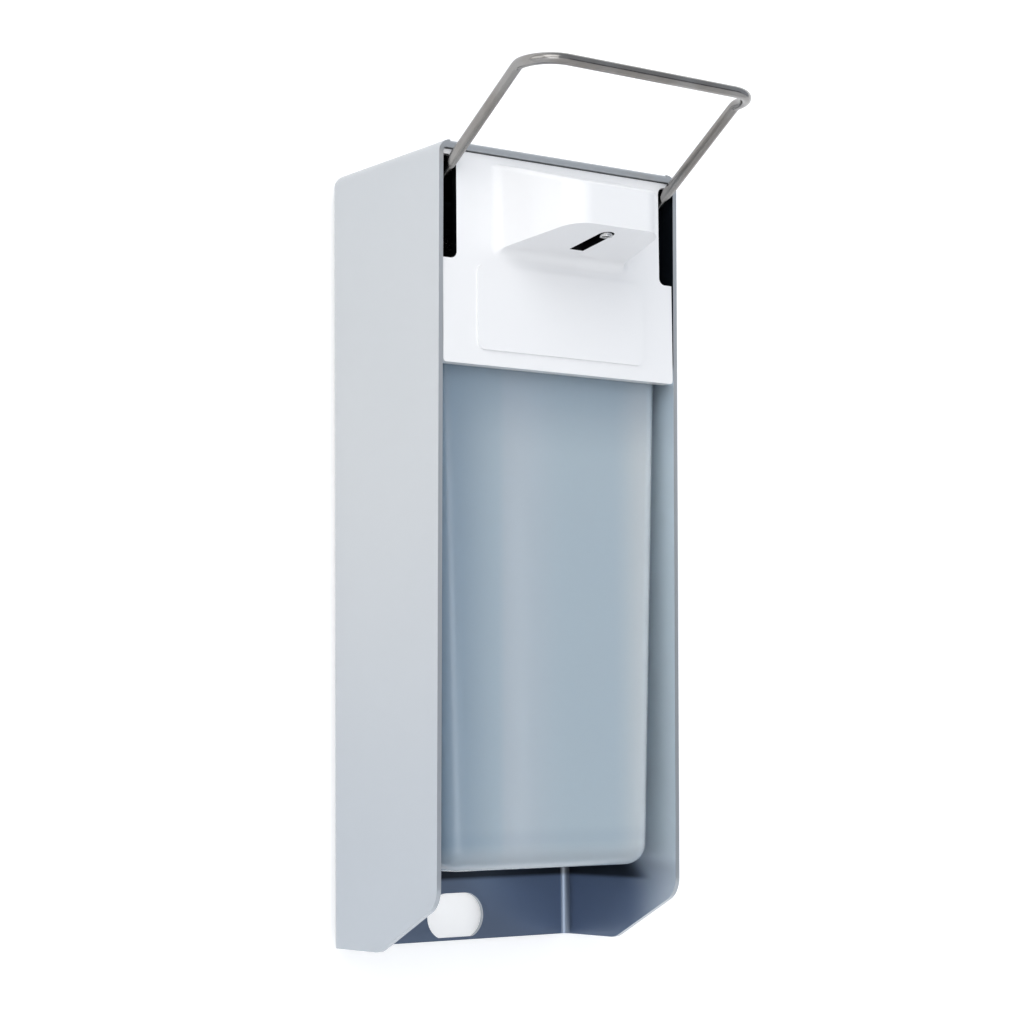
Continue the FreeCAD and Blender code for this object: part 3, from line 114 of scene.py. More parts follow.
def point(across: float, depth: float, height: float) -> Vector:
    """A point in metres.

    Args:
        across: Millimetres to the right of the middle.
        depth: Millimetres along Y, negative towards the user.
        height: Millimetres above the housing's lower edge.

    Returns:
        The point in the frame.
    """
    return Vector((across * MM, depth * MM, (height - ORIGIN_HEIGHT) * MM))



class Graph:
    """A node tree with short calls for its nodes and links."""

    def __init__(self, tree: Tree) -> None:
        """Hold the tree."""
        self.tree = tree

    def add(self, kind: str, **settings: object) -> bpy.types.Node:
        """Add a node.

        Args:
            kind: The node's type name without its prefix.
            **settings: Properties of the node.

        Returns:
            The new node.
        """
        node = self.tree.nodes.new("ShaderNode" + kind)
        for name, value in settings.items():
            setattr(node, name, value)
        return node

    def feed(self, target: Socket, given: object) -> None:
        """Fill an input.

        Args:
            target: The input.
            given: An output to link, or a number, a vector or a colour.
        """
        if isinstance(given, Socket):
            self.tree.links.new(given, target)
        else:
            target.default_value = (*given, 1.0) if target.type == "RGBA" else given

    def fill(self, kind: str, inputs: dict, **settings: object) -> Outputs:
        """Add a node and fill its inputs.

        Args:
            kind: The node's type name without its prefix.
            inputs: What each input gets, by its name or number.
            **settings: Properties of the node.

        Returns:
            The node's outputs.
        """
        node = self.add(kind, **settings)
        for name, given in inputs.items():
            self.feed(node.inputs[name], given)
        return node.outputs

    def ramp(self, source: Socket, span: Span, low: object = 0.0,
             high: object = 1.0) -> Socket:
        """Map a value smoothly onto another range.

        Args:
            source: The value to map.
            span: The lowest and the highest value that count.
            low: What is given at the span's start.
            high: What is given at its end.

        Returns:
            The mapped value.
        """
        return self.fill("MapRange", {"Value": source, "From Min": span[0],
                                      "From Max": span[1], "To Min": low, "To Max": high},
                         interpolation_type="SMOOTHSTEP")["Result"]

    def blend(self, share: Socket, first: object, second: object) -> Socket:
        """Mix two colours by a share.

        Args:
            share: The part of the second colour.
            first: A colour or a socket.
            second: A colour or a socket.

        Returns:
            The mixed colour.
        """
        return self.fill("Mix", {0: share, 6: first, 7: second}, data_type="RGBA")[2]

    def either(self, share: Socket, first: Socket, second: Socket) -> Socket:
        """Mix two shaders, where share is the part of the second."""
        return self.fill("MixShader", {0: share, 1: first, 2: second})["Shader"]

    def combine(self, operation: str, first: Socket, second: object,
                clamped: bool = False) -> Socket:
        """Combine two values.

        Args:
            operation: The math node's operation.
            first: A value.
            second: A number or a socket.
            clamped: Whether the result is kept between 0 and 1.

        Returns:
            The result.
        """
        return self.fill("Math", {0: first, 1: second}, operation=operation,
                         use_clamp=clamped)[0]

    def along(self, where: Socket, way: Triple) -> Socket:
        """How far a vector points along a way."""
        return self.fill("VectorMath", {0: where, 1: way}, operation="DOT_PRODUCT")["Value"]

    def coordinates(self) -> Socket:
        """The Object coordinates."""
        return self.add("TexCoord").outputs["Object"]

    def place(self) -> Outputs:
        """The Object coordinates as three values named X, Y and Z."""
        return self.fill("SeparateXYZ", {0: self.coordinates()})

    def attribute(self, name: str) -> Outputs:
        """The outputs of one of the piece's own attributes."""
        return self.add("Attribute", attribute_name=name).outputs

    def stretched(self, where: Socket, stretch: object) -> Socket:
        """Coordinates that are scaled along the axes."""
        return self.fill("Mapping", {"Vector": where, "Scale": stretch})["Vector"]

    def noise(self, where: Socket, scale: object, detail: float = 2.0,
              **more: object) -> Socket:
        """A noise.

        Args:
            where: The coordinates.
            scale: Its scale, a number or a socket.
            detail: Its octaves.
            **more: Further inputs; W makes the noise four-dimensional.

        Returns:
            Its value.
        """
        return self.fill("TexNoise", {"Vector": where, "Scale": scale, "Detail": detail, **more},
                         noise_dimensions="4D" if "W" in more else "3D")["Fac"]

    def group(self, tree: Tree, **values: object) -> Outputs:
        """The outputs of a shared group, placed with its own numbers."""
        return self.fill("Group", values, node_tree=tree)


def emptied(holder: Material | bpy.types.World, kind: str) -> tuple[Graph, Socket]:
    """Clear the nodes of a material or world.

    Args:
        holder: The material or world.
        kind: The kind of its output node.

    Returns:
        Its graph and the surface input of its output.
    """
    holder.use_nodes = True
    holder.node_tree.nodes.clear()
    graph = Graph(holder.node_tree)
    return graph, graph.add(kind).inputs["Surface"]


def added(name: str, data: bpy.types.ID) -> Item:
    """A new object in the scene that holds the data."""
    item = bpy.data.objects.new(name, data)
    bpy.context.scene.collection.objects.link(item)
    return item


def added_mesh(name: str, solid: Solid) -> Item:
    """A new object in the scene with the bmesh, which is freed."""
    mesh = bpy.data.meshes.new(name)
    solid.to_mesh(mesh)
    solid.free()
    return added(name, mesh)


class EffectKit:
    """The shader node groups that the finishes share."""

    # Spans that place the painted shade in hollows and the painted shadows behind the cover and
    # the bottle.
    fade_span: Span = (-0.058, -0.014)
    foot_span: Span = (-0.112, -0.085)
    foot_sink: float = 0.022
    cover_span: Span = (0.055, 0.062)
    bottle_span: Span = (-0.1064, -0.1046)
    deep_span: Span = (0.6, 0.97)
    upward_span: Span = (0.55, 1.0)
    line_stretch: Triple = (1.0, 1.0, 30.0)
    grain_span: Span = (0.25, 0.75)
    grain_roughness: float = 0.6
    patch_span: Span = (0.3, 0.7)
    line_span: Span = (0.3, 0.7)
    warm_span: Span = (0.35, 0.65)
    warm_scale: float = 60.0

    def __init__(self) -> None:
        """Build every group once."""
        self.grain = self._grain()
        self.cloud = self._cloud()
        # Rubbed edges, which also give a painted edge highlight.
        self.rubbed = self._broken(
            "rubbed_edges_and_highlight", lambda graph: graph.attribute("rounded_edge")["Fac"],
            scale=120.0, detail=2.0, least=0.35, span=(0.35, 0.6))
        self.inside = self._inside()
        self.drawn = self._drawn()
        self.dust = self._broken("settled_dust", self._upward, scale=90.0, detail=5.0,
                                 least=0.0, span=(0.35, 0.75))

    @staticmethod
    def _open(name: str, inputs: dict[str, object], *outputs: str) -> tuple:
        """Start a group.

        Args:
            name: The group's name.
            inputs: Each input's name and default.
            *outputs: The names of its outputs.

        Returns:
            The group, its graph, the sockets of its inputs and those of its outputs.
        """
        group = bpy.data.node_groups.new(name, "ShaderNodeTree")
        for label, default in inputs.items():
            kind = "NodeSocketVector" if isinstance(default, tuple) else "NodeSocketFloat"
            socket = group.interface.new_socket(label, in_out="INPUT", socket_type=kind)
            socket.default_value = default
        for label in outputs:
            group.interface.new_socket(label, in_out="OUTPUT", socket_type="NodeSocketFloat")
        return (group, Graph(group), group.nodes.new("NodeGroupInput").outputs,
                group.nodes.new("NodeGroupOutput").inputs)

    def _grain(self) -> Tree:
        """A fine grain on Object coordinates, stretched where the surface was worked."""
        group, graph, given, result = self._open(
            "fine_grain", {"Scale": 800.0, "Stretch": (1.0, 1.0, 1.0), "Low": 0.3, "High": 0.5},
            "Relief", "Value")
        noise = graph.noise(graph.stretched(graph.coordinates(), given["Stretch"]),
                            given["Scale"], 3.0, Roughness=self.grain_roughness)
        graph.feed(result["Relief"], noise)
        graph.feed(result["Value"],
                   graph.ramp(noise, self.grain_span, given["Low"], given["High"]))
        return group

    def _cloud(self) -> Tree:
        """Broad soft patches, as a mask for the colour."""
        group, graph, given, result = self._open(
            "broad_patches", {"Scale": 20.0, "Seed": 0.0}, "Mask")
        noise = graph.noise(graph.coordinates(), given["Scale"], 4.0, W=given["Seed"])
        graph.feed(result["Mask"], graph.ramp(noise, self.patch_span))
        return group

    def _broken(self, name: str, where: Callable[[Graph], Socket], scale: float,
                detail: float, least: float, span: Span) -> Tree:
        """A mask that a noise breaks up, as a hand rubs or dust settles.

        Args:
            name: The group's name.
            where: Gives the whole mask in the group's graph.
            scale: The noise's scale.
            detail: The noise's octaves.
            least: What is left of the mask where the noise is low.
            span: Where the noise starts and ends to count.

        Returns:
            The group.
        """
        group, graph, given, result = self._open(name, {"Amount": 1.0}, "Mask")
        whole = where(graph)
        broken = graph.ramp(graph.noise(graph.coordinates(), scale, detail), span, least)
        mask = graph.combine("MULTIPLY", whole, broken)
        graph.feed(result["Mask"], graph.combine("MULTIPLY", mask, given["Amount"], True))
        return group

    def _upward(self, graph: Graph) -> Socket:
        """How far a face looks up."""
        normal = graph.add("NewGeometry").outputs["Normal"]
        return graph.ramp(graph.fill("SeparateXYZ", {0: normal})["Z"], self.upward_span)

    def _inside(self) -> Tree:
        """A mask of painted shade on the faces in a hollow, how deep they lie in it and what
        covers them.

        The depth grows from the open front, sooner below the bottle, and is full behind the
        cover; deeper faces get a darker painted shade. The cover and the bottle keep the light off
        what lies behind them, and a painted shadow darkens it there.
        """
        group, graph, _, result = self._open("painted_hollow_shade", {}, "Mask", "Depth", "Covered")
        graph.feed(result["Mask"], graph.attribute("inner_face")["Fac"])
        place = graph.place()
        sunk = graph.combine("ADD", place["Y"],
                             graph.ramp(place["Z"], self.foot_span, self.foot_sink, 0.0))
        behind_cover = graph.ramp(place["Z"], self.cover_span)
        depth = graph.combine("MAXIMUM", graph.ramp(sunk, self.fade_span), behind_cover)
        graph.feed(result["Depth"], depth)
        behind_bottle = graph.combine("MULTIPLY", graph.ramp(place["Z"], self.bottle_span),
                                      graph.ramp(depth, self.deep_span))
        graph.feed(result["Covered"], graph.combine("MAXIMUM", behind_cover, behind_bottle))
        return group

    def _drawn(self) -> Tree:
        """Fine lines along a drawn wire or tube, from the piece's own wire attribute."""
        group, graph, given, result = self._open(
            "drawn_lines", {"Lines": 9.0, "Low": 0.25, "High": 0.4},
            "Relief", "Value", "Patches")
        around = graph.attribute("wire_way")["Vector"]
        noise = graph.noise(graph.stretched(around, self.line_stretch), given["Lines"], 3.0)
        graph.feed(result["Relief"], noise)
        graph.feed(result["Value"],
                   graph.ramp(noise, self.line_span, given["Low"], given["High"]))
        patches = graph.noise(graph.coordinates(), self.warm_scale)
        graph.feed(result["Patches"], graph.ramp(patches, self.warm_span))
        return group


EFFECTS = EffectKit()


@dataclass(frozen=True)
class Finish:
    """A finish for mouldings, sheet and small metal parts.

    Attributes:
        slot: The record's material slot.
        tone: The main colour.
        shade: The colour of the broad patches.
        worn: The colour along rubbed edges, which is also a painted edge highlight.
        roughness: Roughness in the grain's valleys and on its crests.
        patch_scale: Size of the broad patches, as a noise scale per metre.
        grain_scale: Size of the grain, as a noise scale per metre.
        stretch: How the grain is drawn out along the axes.
        relief: Height of the grain in millimetres.
        metallic: 1 for bare metal.
        coat: Weight of a clear gloss.
        transmission: Share of light let through.
        ior: Index of refraction.
        edge_rub_and_highlight: Strength of the rubbed edges and their painted highlight.
        dust: Strength of the dust on top.
        subsurface: Share of light scattered below the surface.
        inner: The colour of the painted shade on faces deep in a hollow, where the piece has one.
        hollow_front_light: The colour of the painted light at the hollow's open front, where it
            differs.
        low_shade_tone: The colour of the painted shade at the housing's foot, where it differs.
        low_shade_span: The heights in metres between which the painted shade fades.
    """

    slot: Slot
    tone: Triple
    shade: Triple
    worn: Triple
    roughness: Span = (0.35, 0.5)
    patch_scale: float = 25.0
    grain_scale: float = 1500.0
    stretch: Triple = (1.0, 1.0, 1.0)
    relief: float = 0.01
    metallic: float = 0.0
    coat: float = 0.0
    transmission: float = 0.0
    ior: float = 1.46
    edge_rub_and_highlight: float = 0.6
    dust: float = 0.0
    subsurface: float = 0.0
    inner: Triple | None = None
    hollow_front_light: Triple | None = None
    low_shade_tone: Triple | None = None
    low_shade_span: Span = (-0.14, 0.05)

    def _surface(self, graph: Graph) -> Outputs:
        """The relief and the roughness value of the surface."""
        return graph.group(EFFECTS.grain, Scale=self.grain_scale, Stretch=self.stretch,
                           Low=self.roughness[0], High=self.roughness[1])

    def _colour(self, graph: Graph) -> Socket:
        """The colour with its patches, rubbed edges that also carry a painted edge highlight,
        dust, painted shade towards the housing's foot and painted shade and light in hollows.
        """
        cloud = graph.group(EFFECTS.cloud, Scale=self.patch_scale,
                            Seed=float(len(self.slot.value)))
        colour = graph.blend(cloud["Mask"], self.tone, self.shade)
        # Painted shade, darker towards the housing's foot.
        if self.low_shade_tone:
            share = graph.ramp(graph.place()["Z"], self.low_shade_span, 1.0, 0.0)
            colour = graph.blend(share, colour, self.low_shade_tone)
        # Rubbed edges, lightened both as wear and as a painted edge highlight.
        rubbed = graph.group(EFFECTS.rubbed, Amount=self.edge_rub_and_highlight)
        colour = graph.blend(rubbed["Mask"], colour, self.worn)
        if self.dust:
            dust = graph.group(EFFECTS.dust, Amount=self.dust)
            colour = graph.blend(dust["Mask"], colour, DUST_TONE)
        # Painted shade deep in a hollow, painted light at its open front, and a darker painted
        # shadow behind the cover and the bottle.
        if self.inner:
            inside = graph.group(EFFECTS.inside)
            hollow = graph.blend(inside["Depth"], self.hollow_front_light or self.inner, self.inner)
            hollow = graph.blend(inside["Covered"], hollow,
                                 tuple(PAINTED_SHADOW_SHARE * part for part in self.inner))
            colour = graph.blend(inside["Mask"], colour, hollow)
        return colour

    def build(self, name: str) -> Material:
        """Make the material.

        Args:
            name: The material's name.

        Returns:
            The material.
        """
        material = bpy.data.materials.new(name)
        graph, surface = emptied(material, "OutputMaterial")
        grain = self._surface(graph)
        bump = graph.fill("Bump", {"Strength": 1.0, "Distance": self.relief * MM,
                                   "Height": grain["Relief"]})
        graph.feed(surface, graph.fill("BsdfPrincipled", {
            "Base Color": self._colour(graph), "Roughness": grain["Value"],
            "Normal": bump["Normal"], "Metallic": self.metallic, "Coat Weight": self.coat,
            "Coat Roughness": COAT_ROUGHNESS, "Transmission Weight": self.transmission,
            "IOR": self.ior, "Subsurface Weight": self.subsurface,
            "Subsurface Scale": SCATTER_SCALE})["BSDF"])
        return material


@dataclass(frozen=True)
class DrawnFinish(Finish):
    """A metal finish whose fine lines follow the wire or tube."""

    lines: float = 9.0
    line_share: float = 0.35

    def _surface(self, graph: Graph) -> Outputs:
        """The drawn lines as relief and roughness."""
        return graph.group(EFFECTS.drawn, Lines=self.lines, Low=self.roughness[0],
                           High=self.roughness[1])

    def _colour(self, graph: Graph) -> Socket:
        """The metal's colour, warmer in soft patches."""
        drawn = graph.group(EFFECTS.drawn, Lines=self.lines)
        colour = graph.blend(drawn["Patches"], self.tone, self.shade)
        share = graph.combine("MULTIPLY", drawn["Value"], self.line_share)
        return graph.blend(share, colour, self.worn)


@dataclass(frozen=True)
class Band:
    """A band of colour across the bottle, most of them painted light or shade.

    Attributes:
        axis: The axis that it fades along.
        span: Where it fades, in metres.
        shares: Its strength at the span's two ends.
        tone: Its colour.
    """

    axis: str
    span: Span
    shares: Span
    tone: Triple

    def share(self, graph: Graph, place: Outputs) -> Socket:
        """The band's strength at a place."""
        return graph.ramp(place[self.axis], self.span, *self.shares)


@dataclass(frozen=True)
class MilkyFinish(Finish):
    """Translucent blown plastic with painted light and shade laid over its tone.

    It has painted shade on the left, a painted shadow under the cover, a painted lighter band
    where the pale dip tube shows through, a painted highlight along the right rim, a painted shade
    line at the inner floor, and a darker foot where the milky base has painted shade.
    """

    # Painted shade, deeper towards the left.
    side: Band = Band("X", (-0.0560, -0.0120), (0.85, 0.0), (0.22, 0.335, 0.47))
    # A painted lighter band where the pale dip tube shows through the wall.
    tube: Band = Band("X", (-0.0215, -0.0180), (0.0, 1.0), (0.765, 0.845, 0.915))
    tube_fade: Span = (-0.0140, 0.0060)
    # A painted highlight along the right rim.
    rim: Band = Band("X", (0.0225, 0.0365), (0.0, 0.9), (0.9, 0.94, 0.96))
    # A painted shadow under the cover.
    shadow_under_cover: Band = Band("Z", (0.0250, 0.0560), (0.0, 0.6), (0.33, 0.44, 0.55))
    # A painted shade line at the bottle's inner floor.
    floor: Band = Band("Z", (-0.094, -0.092), (0.0, 0.09), (0.22, 0.335, 0.47))
    floor_fade: Span = (-0.091, -0.087)
    # A darker, greyer foot: the thick base's milky tone with painted shade along the bottom.
    foot: Band = Band("Z", (-0.098, -0.092), (0.6, 0.0), (0.56, 0.62, 0.67))

    def _colour(self, graph: Graph) -> Socket:
        """The plastic's colour, with bands of painted light and shade laid over it across and
        along the bottle.
        """
        place = graph.place()
        fades = {self.tube: self.tube_fade, self.floor: self.floor_fade}
        colour = super()._colour(graph)
        for band in (self.tube, self.side, self.rim, self.shadow_under_cover, self.floor, self.foot):
            share = band.share(graph, place)
            if band in fades:
                fade = graph.ramp(place[band.axis], fades[band], 1.0, 0.0)
                share = graph.combine("MULTIPLY", share, fade)
            colour = graph.blend(share, colour, band.tone)
        return colour


FINISHES: dict[str, Finish] = {
    # The sheet's hollow colours are painted shade deep in the housing and painted light at its
    # open front, and its colour at the foot is painted shade.
    "satin_anodised_sheet": Finish(
        Slot.SHEET, (0.53, 0.548, 0.565), (0.515, 0.535, 0.553), (0.78, 0.79, 0.8), (0.278, 0.286),
        patch_scale=9.0, grain_scale=1400.0, stretch=(1.0, 1.0, 0.05), relief=0.00008,
        metallic=0.7, edge_rub_and_highlight=0.7, inner=(0.15, 0.195, 0.28), hollow_front_light=(0.82, 0.91, 0.97),
        low_shade_tone=(0.44, 0.475, 0.515)),
    "bright_zinc": Finish(
        Slot.ZINC, (0.56, 0.57, 0.59), (0.43, 0.44, 0.47), (0.72, 0.72, 0.73), (0.28, 0.5),
        patch_scale=110.0, grain_scale=600.0, relief=0.008, metallic=1.0),
    "screw_steel": Finish(
        Slot.SCREW, (0.5, 0.5, 0.5), (0.4, 0.4, 0.41), (0.7, 0.7, 0.7), (0.25, 0.4),
        patch_scale=200.0, grain_scale=2500.0, relief=0.006, metallic=1.0),
    "rivet_alloy": Finish(
        Slot.RIVET, (0.66, 0.67, 0.68), (0.55, 0.56, 0.58), (0.8, 0.8, 0.8), (0.3, 0.48),
        patch_scale=220.0, grain_scale=2500.0, relief=0.008, metallic=1.0),
    "charcoal_moulding": Finish(
        Slot.DARK, (0.018, 0.021, 0.028), (0.026, 0.03, 0.038), (0.07, 0.075, 0.085),
        (0.38, 0.55), patch_scale=60.0, grain_scale=2200.0, relief=0.02, dust=0.12),
    # The white moulding's inner colour is painted shade, near black, in the nose's hollow and in
    # the slots.
    "gloss_white_moulding": Finish(
        Slot.WHITE, (0.865, 0.867, 0.876), (0.86, 0.862, 0.871), (0.88, 0.885, 0.89),
        (0.278, 0.284), patch_scale=16.0, grain_scale=700.0, relief=0.00004, coat=0.3, edge_rub_and_highlight=0.4,
        inner=(0.012, 0.014, 0.02)),
    "natural_acetal": Finish(
        Slot.ACETAL, (0.72, 0.72, 0.69), (0.66, 0.66, 0.62), (0.8, 0.8, 0.78), (0.25, 0.4),
        patch_scale=90.0, grain_scale=1600.0, relief=0.006, subsurface=0.1),
    "pump_white_plastic": Finish(
        Slot.PUMP_WHITE, (0.74, 0.75, 0.76), (0.69, 0.70, 0.71), (0.82, 0.82, 0.83),
        (0.3, 0.45), patch_scale=70.0, grain_scale=1500.0, relief=0.012),
    "pump_clear_plastic": Finish(
        Slot.PUMP_CLEAR, (0.80, 0.84, 0.87), (0.74, 0.79, 0.82), (0.85, 0.88, 0.9),
        (0.12, 0.22), patch_scale=60.0, grain_scale=900.0, relief=0.006, transmission=0.7),
    "tube_plastic": Finish(
        Slot.TUBE, (0.74, 0.73, 0.70), (0.70, 0.68, 0.64), (0.8, 0.79, 0.77), (0.3, 0.42),
        patch_scale=50.0, grain_scale=900.0, stretch=(1.0, 1.0, 0.1), relief=0.006),
    "milky_bottle": MilkyFinish(
        Slot.BOTTLE, (0.71, 0.825, 0.9), (0.70, 0.815, 0.895), (0.62, 0.68, 0.73), (0.14, 0.17),
        patch_scale=14.0, grain_scale=300.0, relief=0.001, transmission=0.55, ior=1.4, edge_rub_and_highlight=0.0),
    "black_rubber": Finish(
        Slot.RUBBER, (0.02, 0.02, 0.022), (0.035, 0.035, 0.036), (0.06, 0.06, 0.06),
        (0.55, 0.75), patch_scale=120.0, grain_scale=2600.0, relief=0.02),
    "sleeve_nylon": Finish(
        Slot.NYLON, (0.66, 0.65, 0.6), (0.58, 0.57, 0.52), (0.75, 0.74, 0.7), (0.3, 0.45),
        patch_scale=110.0, grain_scale=1800.0, relief=0.01),
    "satin_drawn_steel": DrawnFinish(
        Slot.SATIN, (0.29, 0.283, 0.275), (0.22, 0.205, 0.19), (0.39, 0.385, 0.38), (0.15, 0.21),
        relief=0.003, metallic=1.0),
    "bright_steel_tube": DrawnFinish(
        Slot.PIPE, (0.62, 0.62, 0.62), (0.5, 0.5, 0.5), (0.78, 0.78, 0.78), (0.16, 0.26),
        relief=0.005, metallic=1.0, lines=7.0),
    "bare_steel": Finish(
        Slot.PIPE, (0.6, 0.6, 0.6), (0.5, 0.5, 0.5), (0.75, 0.75, 0.75), (0.16, 0.28),
        patch_scale=90.0, grain_scale=1800.0, relief=0.004, metallic=1.0),
    "bail_pin_steel": Finish(
        Slot.SATIN, (0.29, 0.285, 0.28), (0.21, 0.2, 0.188), (0.44, 0.44, 0.44), (0.22, 0.34),
        patch_scale=90.0, grain_scale=1800.0, relief=0.006, metallic=1.0),
    "spring_steel": Finish(
        Slot.SPRING, (0.36, 0.36, 0.37), (0.27, 0.27, 0.29), (0.55, 0.55, 0.55), (0.25, 0.4),
        patch_scale=300.0, grain_scale=3000.0, relief=0.004, metallic=1.0),
    "polished_ball": Finish(
        Slot.BALL, (0.72, 0.72, 0.73), (0.68, 0.68, 0.69), (0.8, 0.8, 0.8), (0.05, 0.1),
        patch_scale=400.0, grain_scale=3000.0, relief=0.001, metallic=1.0),
}



class Workshop:
    """Turns bmeshes into finished pieces and keeps the materials."""

    def __init__(self) -> None:
        """Build every material once."""
        self.materials = {name: finish.build(name) for name, finish in FINISHES.items()}

    def paint(self, piece: Item, finish: str) -> None:
        """Give a piece or a CAD node its material.

        Args:
            piece: The object.
            finish: The finish's name.
        """
        if not piece.material_slots:
            piece.data.materials.append(None)
        for slot in piece.material_slots:
            slot.material = self.materials[finish]

    def carry_over(self, kept: dict[str, str]) -> None:
        """Dress the CAD nodes that stay.

        Args:
            kept: The name of each node and of its finish.
        """
        for node, finish in kept.items():
            self.paint(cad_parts[node], finish)
            LOG.info("kept %s in %s", node, finish)

    def deliver(self, solid: Solid, name: str, finish: str, *stands_for: str,
                carrier: Carrier = Carrier.STAND) -> Item:
        """Make a bmesh a finished piece that rides on a body.

        Args:
            solid: The bmesh, freed here.
            name: The piece's name.
            finish: The finish's name.
            *stands_for: The CAD nodes it replaces.
            carrier: The body it rides on.

        Returns:
            The piece.
        """
        for face in solid.faces:
            face.smooth = True
        piece = added_mesh(name, solid)
        piece.data.set_sharp_from_angle(angle=SHARP)
        even = piece.modifiers.new("even_shading", "WEIGHTED_NORMAL")
        even.mode = "FACE_AREA"
        even.weight = 100
        even.keep_sharp = True
        self.paint(piece, finish)
        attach(piece, carrier.value)
        if stands_for:
            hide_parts(*stands_for)
        LOG.info("made %s: %d faces, rides on %s", name, len(piece.data.polygons),
                 carrier.value)
        return piece

    def rework(self, node: str, name: str, finish: str, width: float,
               carrier: Carrier = Carrier.STAND, weld: float = WELD,
               reshape: Callable[[Solid], None] | None = None,
               inside: Callable[[Vector, Vector], float] | None = None) -> None:
        """Make a piece from a CAD node's mesh, with its sharp edges rounded.

        Args:
            node: The node, which the piece replaces.
            name: The piece's name.
            finish: The finish's name.
            width: Width of the rounds in millimetres.
            carrier: The body it rides on.
            weld: How near in millimetres points are merged.
            reshape: Changes the mesh before its edges are rounded.
            inside: The test of mark_inside, where the piece has a hollow.
        """
        solid = merged_copy(node, weld)
        if reshape:
            reshape(solid)
        soften(solid, width)
        if inside:
            mark_inside(solid, inside)
        self.deliver(solid, name, finish, node, carrier=carrier)


def merged_copy(node: str, weld: float = WELD) -> Solid:
    """A merged copy of a CAD node's mesh, its flat faces whole again.

    Args:
        node: The node's name.
        weld: How near in millimetres points are merged.

    Returns:
        The copy.
    """
    solid = bmesh.new()
    solid.from_mesh(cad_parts[node].data)
    bmesh.ops.remove_doubles(solid, verts=solid.verts, dist=weld * MM)
    bmesh.ops.dissolve_limit(solid, angle_limit=FLAT, verts=solid.verts, edges=solid.edges)
    return solid


def soften(solid: Solid, width: float, angle: float = 40.0) -> None:
    """Round the sharp edges and mark the new faces for the rubbed mask, which also paints an edge
    highlight.

    Args:
        solid: The bmesh.
        width: Width of the round in millimetres.
        angle: The least angle of an edge that is rounded, in degrees.
    """
    layer = (solid.faces.layers.float.get("rounded_edge")
             or solid.faces.layers.float.new("rounded_edge"))
    sharp = [edge for edge in solid.edges
             if edge.is_manifold and edge.calc_face_angle() > math.radians(angle)]
    rounded = bmesh.ops.bevel(solid, geom=sharp, offset=width * MM, offset_type="OFFSET",
                              segments=2, profile=0.5, affect="EDGES", clamp_overlap=True,
                              material=-1)
    for face in rounded["faces"]:
        if face.is_valid:
            face[layer] = 1.0


def mark_inside(solid: Solid, test: Callable[[Vector, Vector], float]) -> None:
    """Mark the faces that look into a hollow, where they get painted shade.

    Args:
        solid: The bmesh.
        test: How far a face is inside, from 0 to 1, given its middle in millimetres, with
            heights from the housing's lower edge, and its normal.
    """
    layer = solid.faces.layers.float.new("inner_face")
    solid.normal_update()
    for face in solid.faces:
        middle = face.calc_center_median() / MM + Vector((0, 0, ORIGIN_HEIGHT))
        face[layer] = float(test(middle, face.normal))


def edges_at(verts: list) -> list:
    """The edges that meet the vertices, once each and in order."""
    return list(dict.fromkeys(edge for vert in verts for edge in vert.link_edges))


def extend(solid: Solid, ring: list, way: Vector) -> list:
    """Extrude edges along a way.

    Args:
        solid: The bmesh.
        ring: The edges.
        way: How far and where to.

    Returns:
        The new edges.
    """
    made = bmesh.ops.extrude_edge_only(solid, edges=ring)["geom"]
    moved = [item for item in made if isinstance(item, bmesh.types.BMVert)]
    bmesh.ops.translate(solid, verts=moved, vec=way)
    return [item for item in made if isinstance(item, bmesh.types.BMEdge)
            and all(vert in moved for vert in item.verts)]


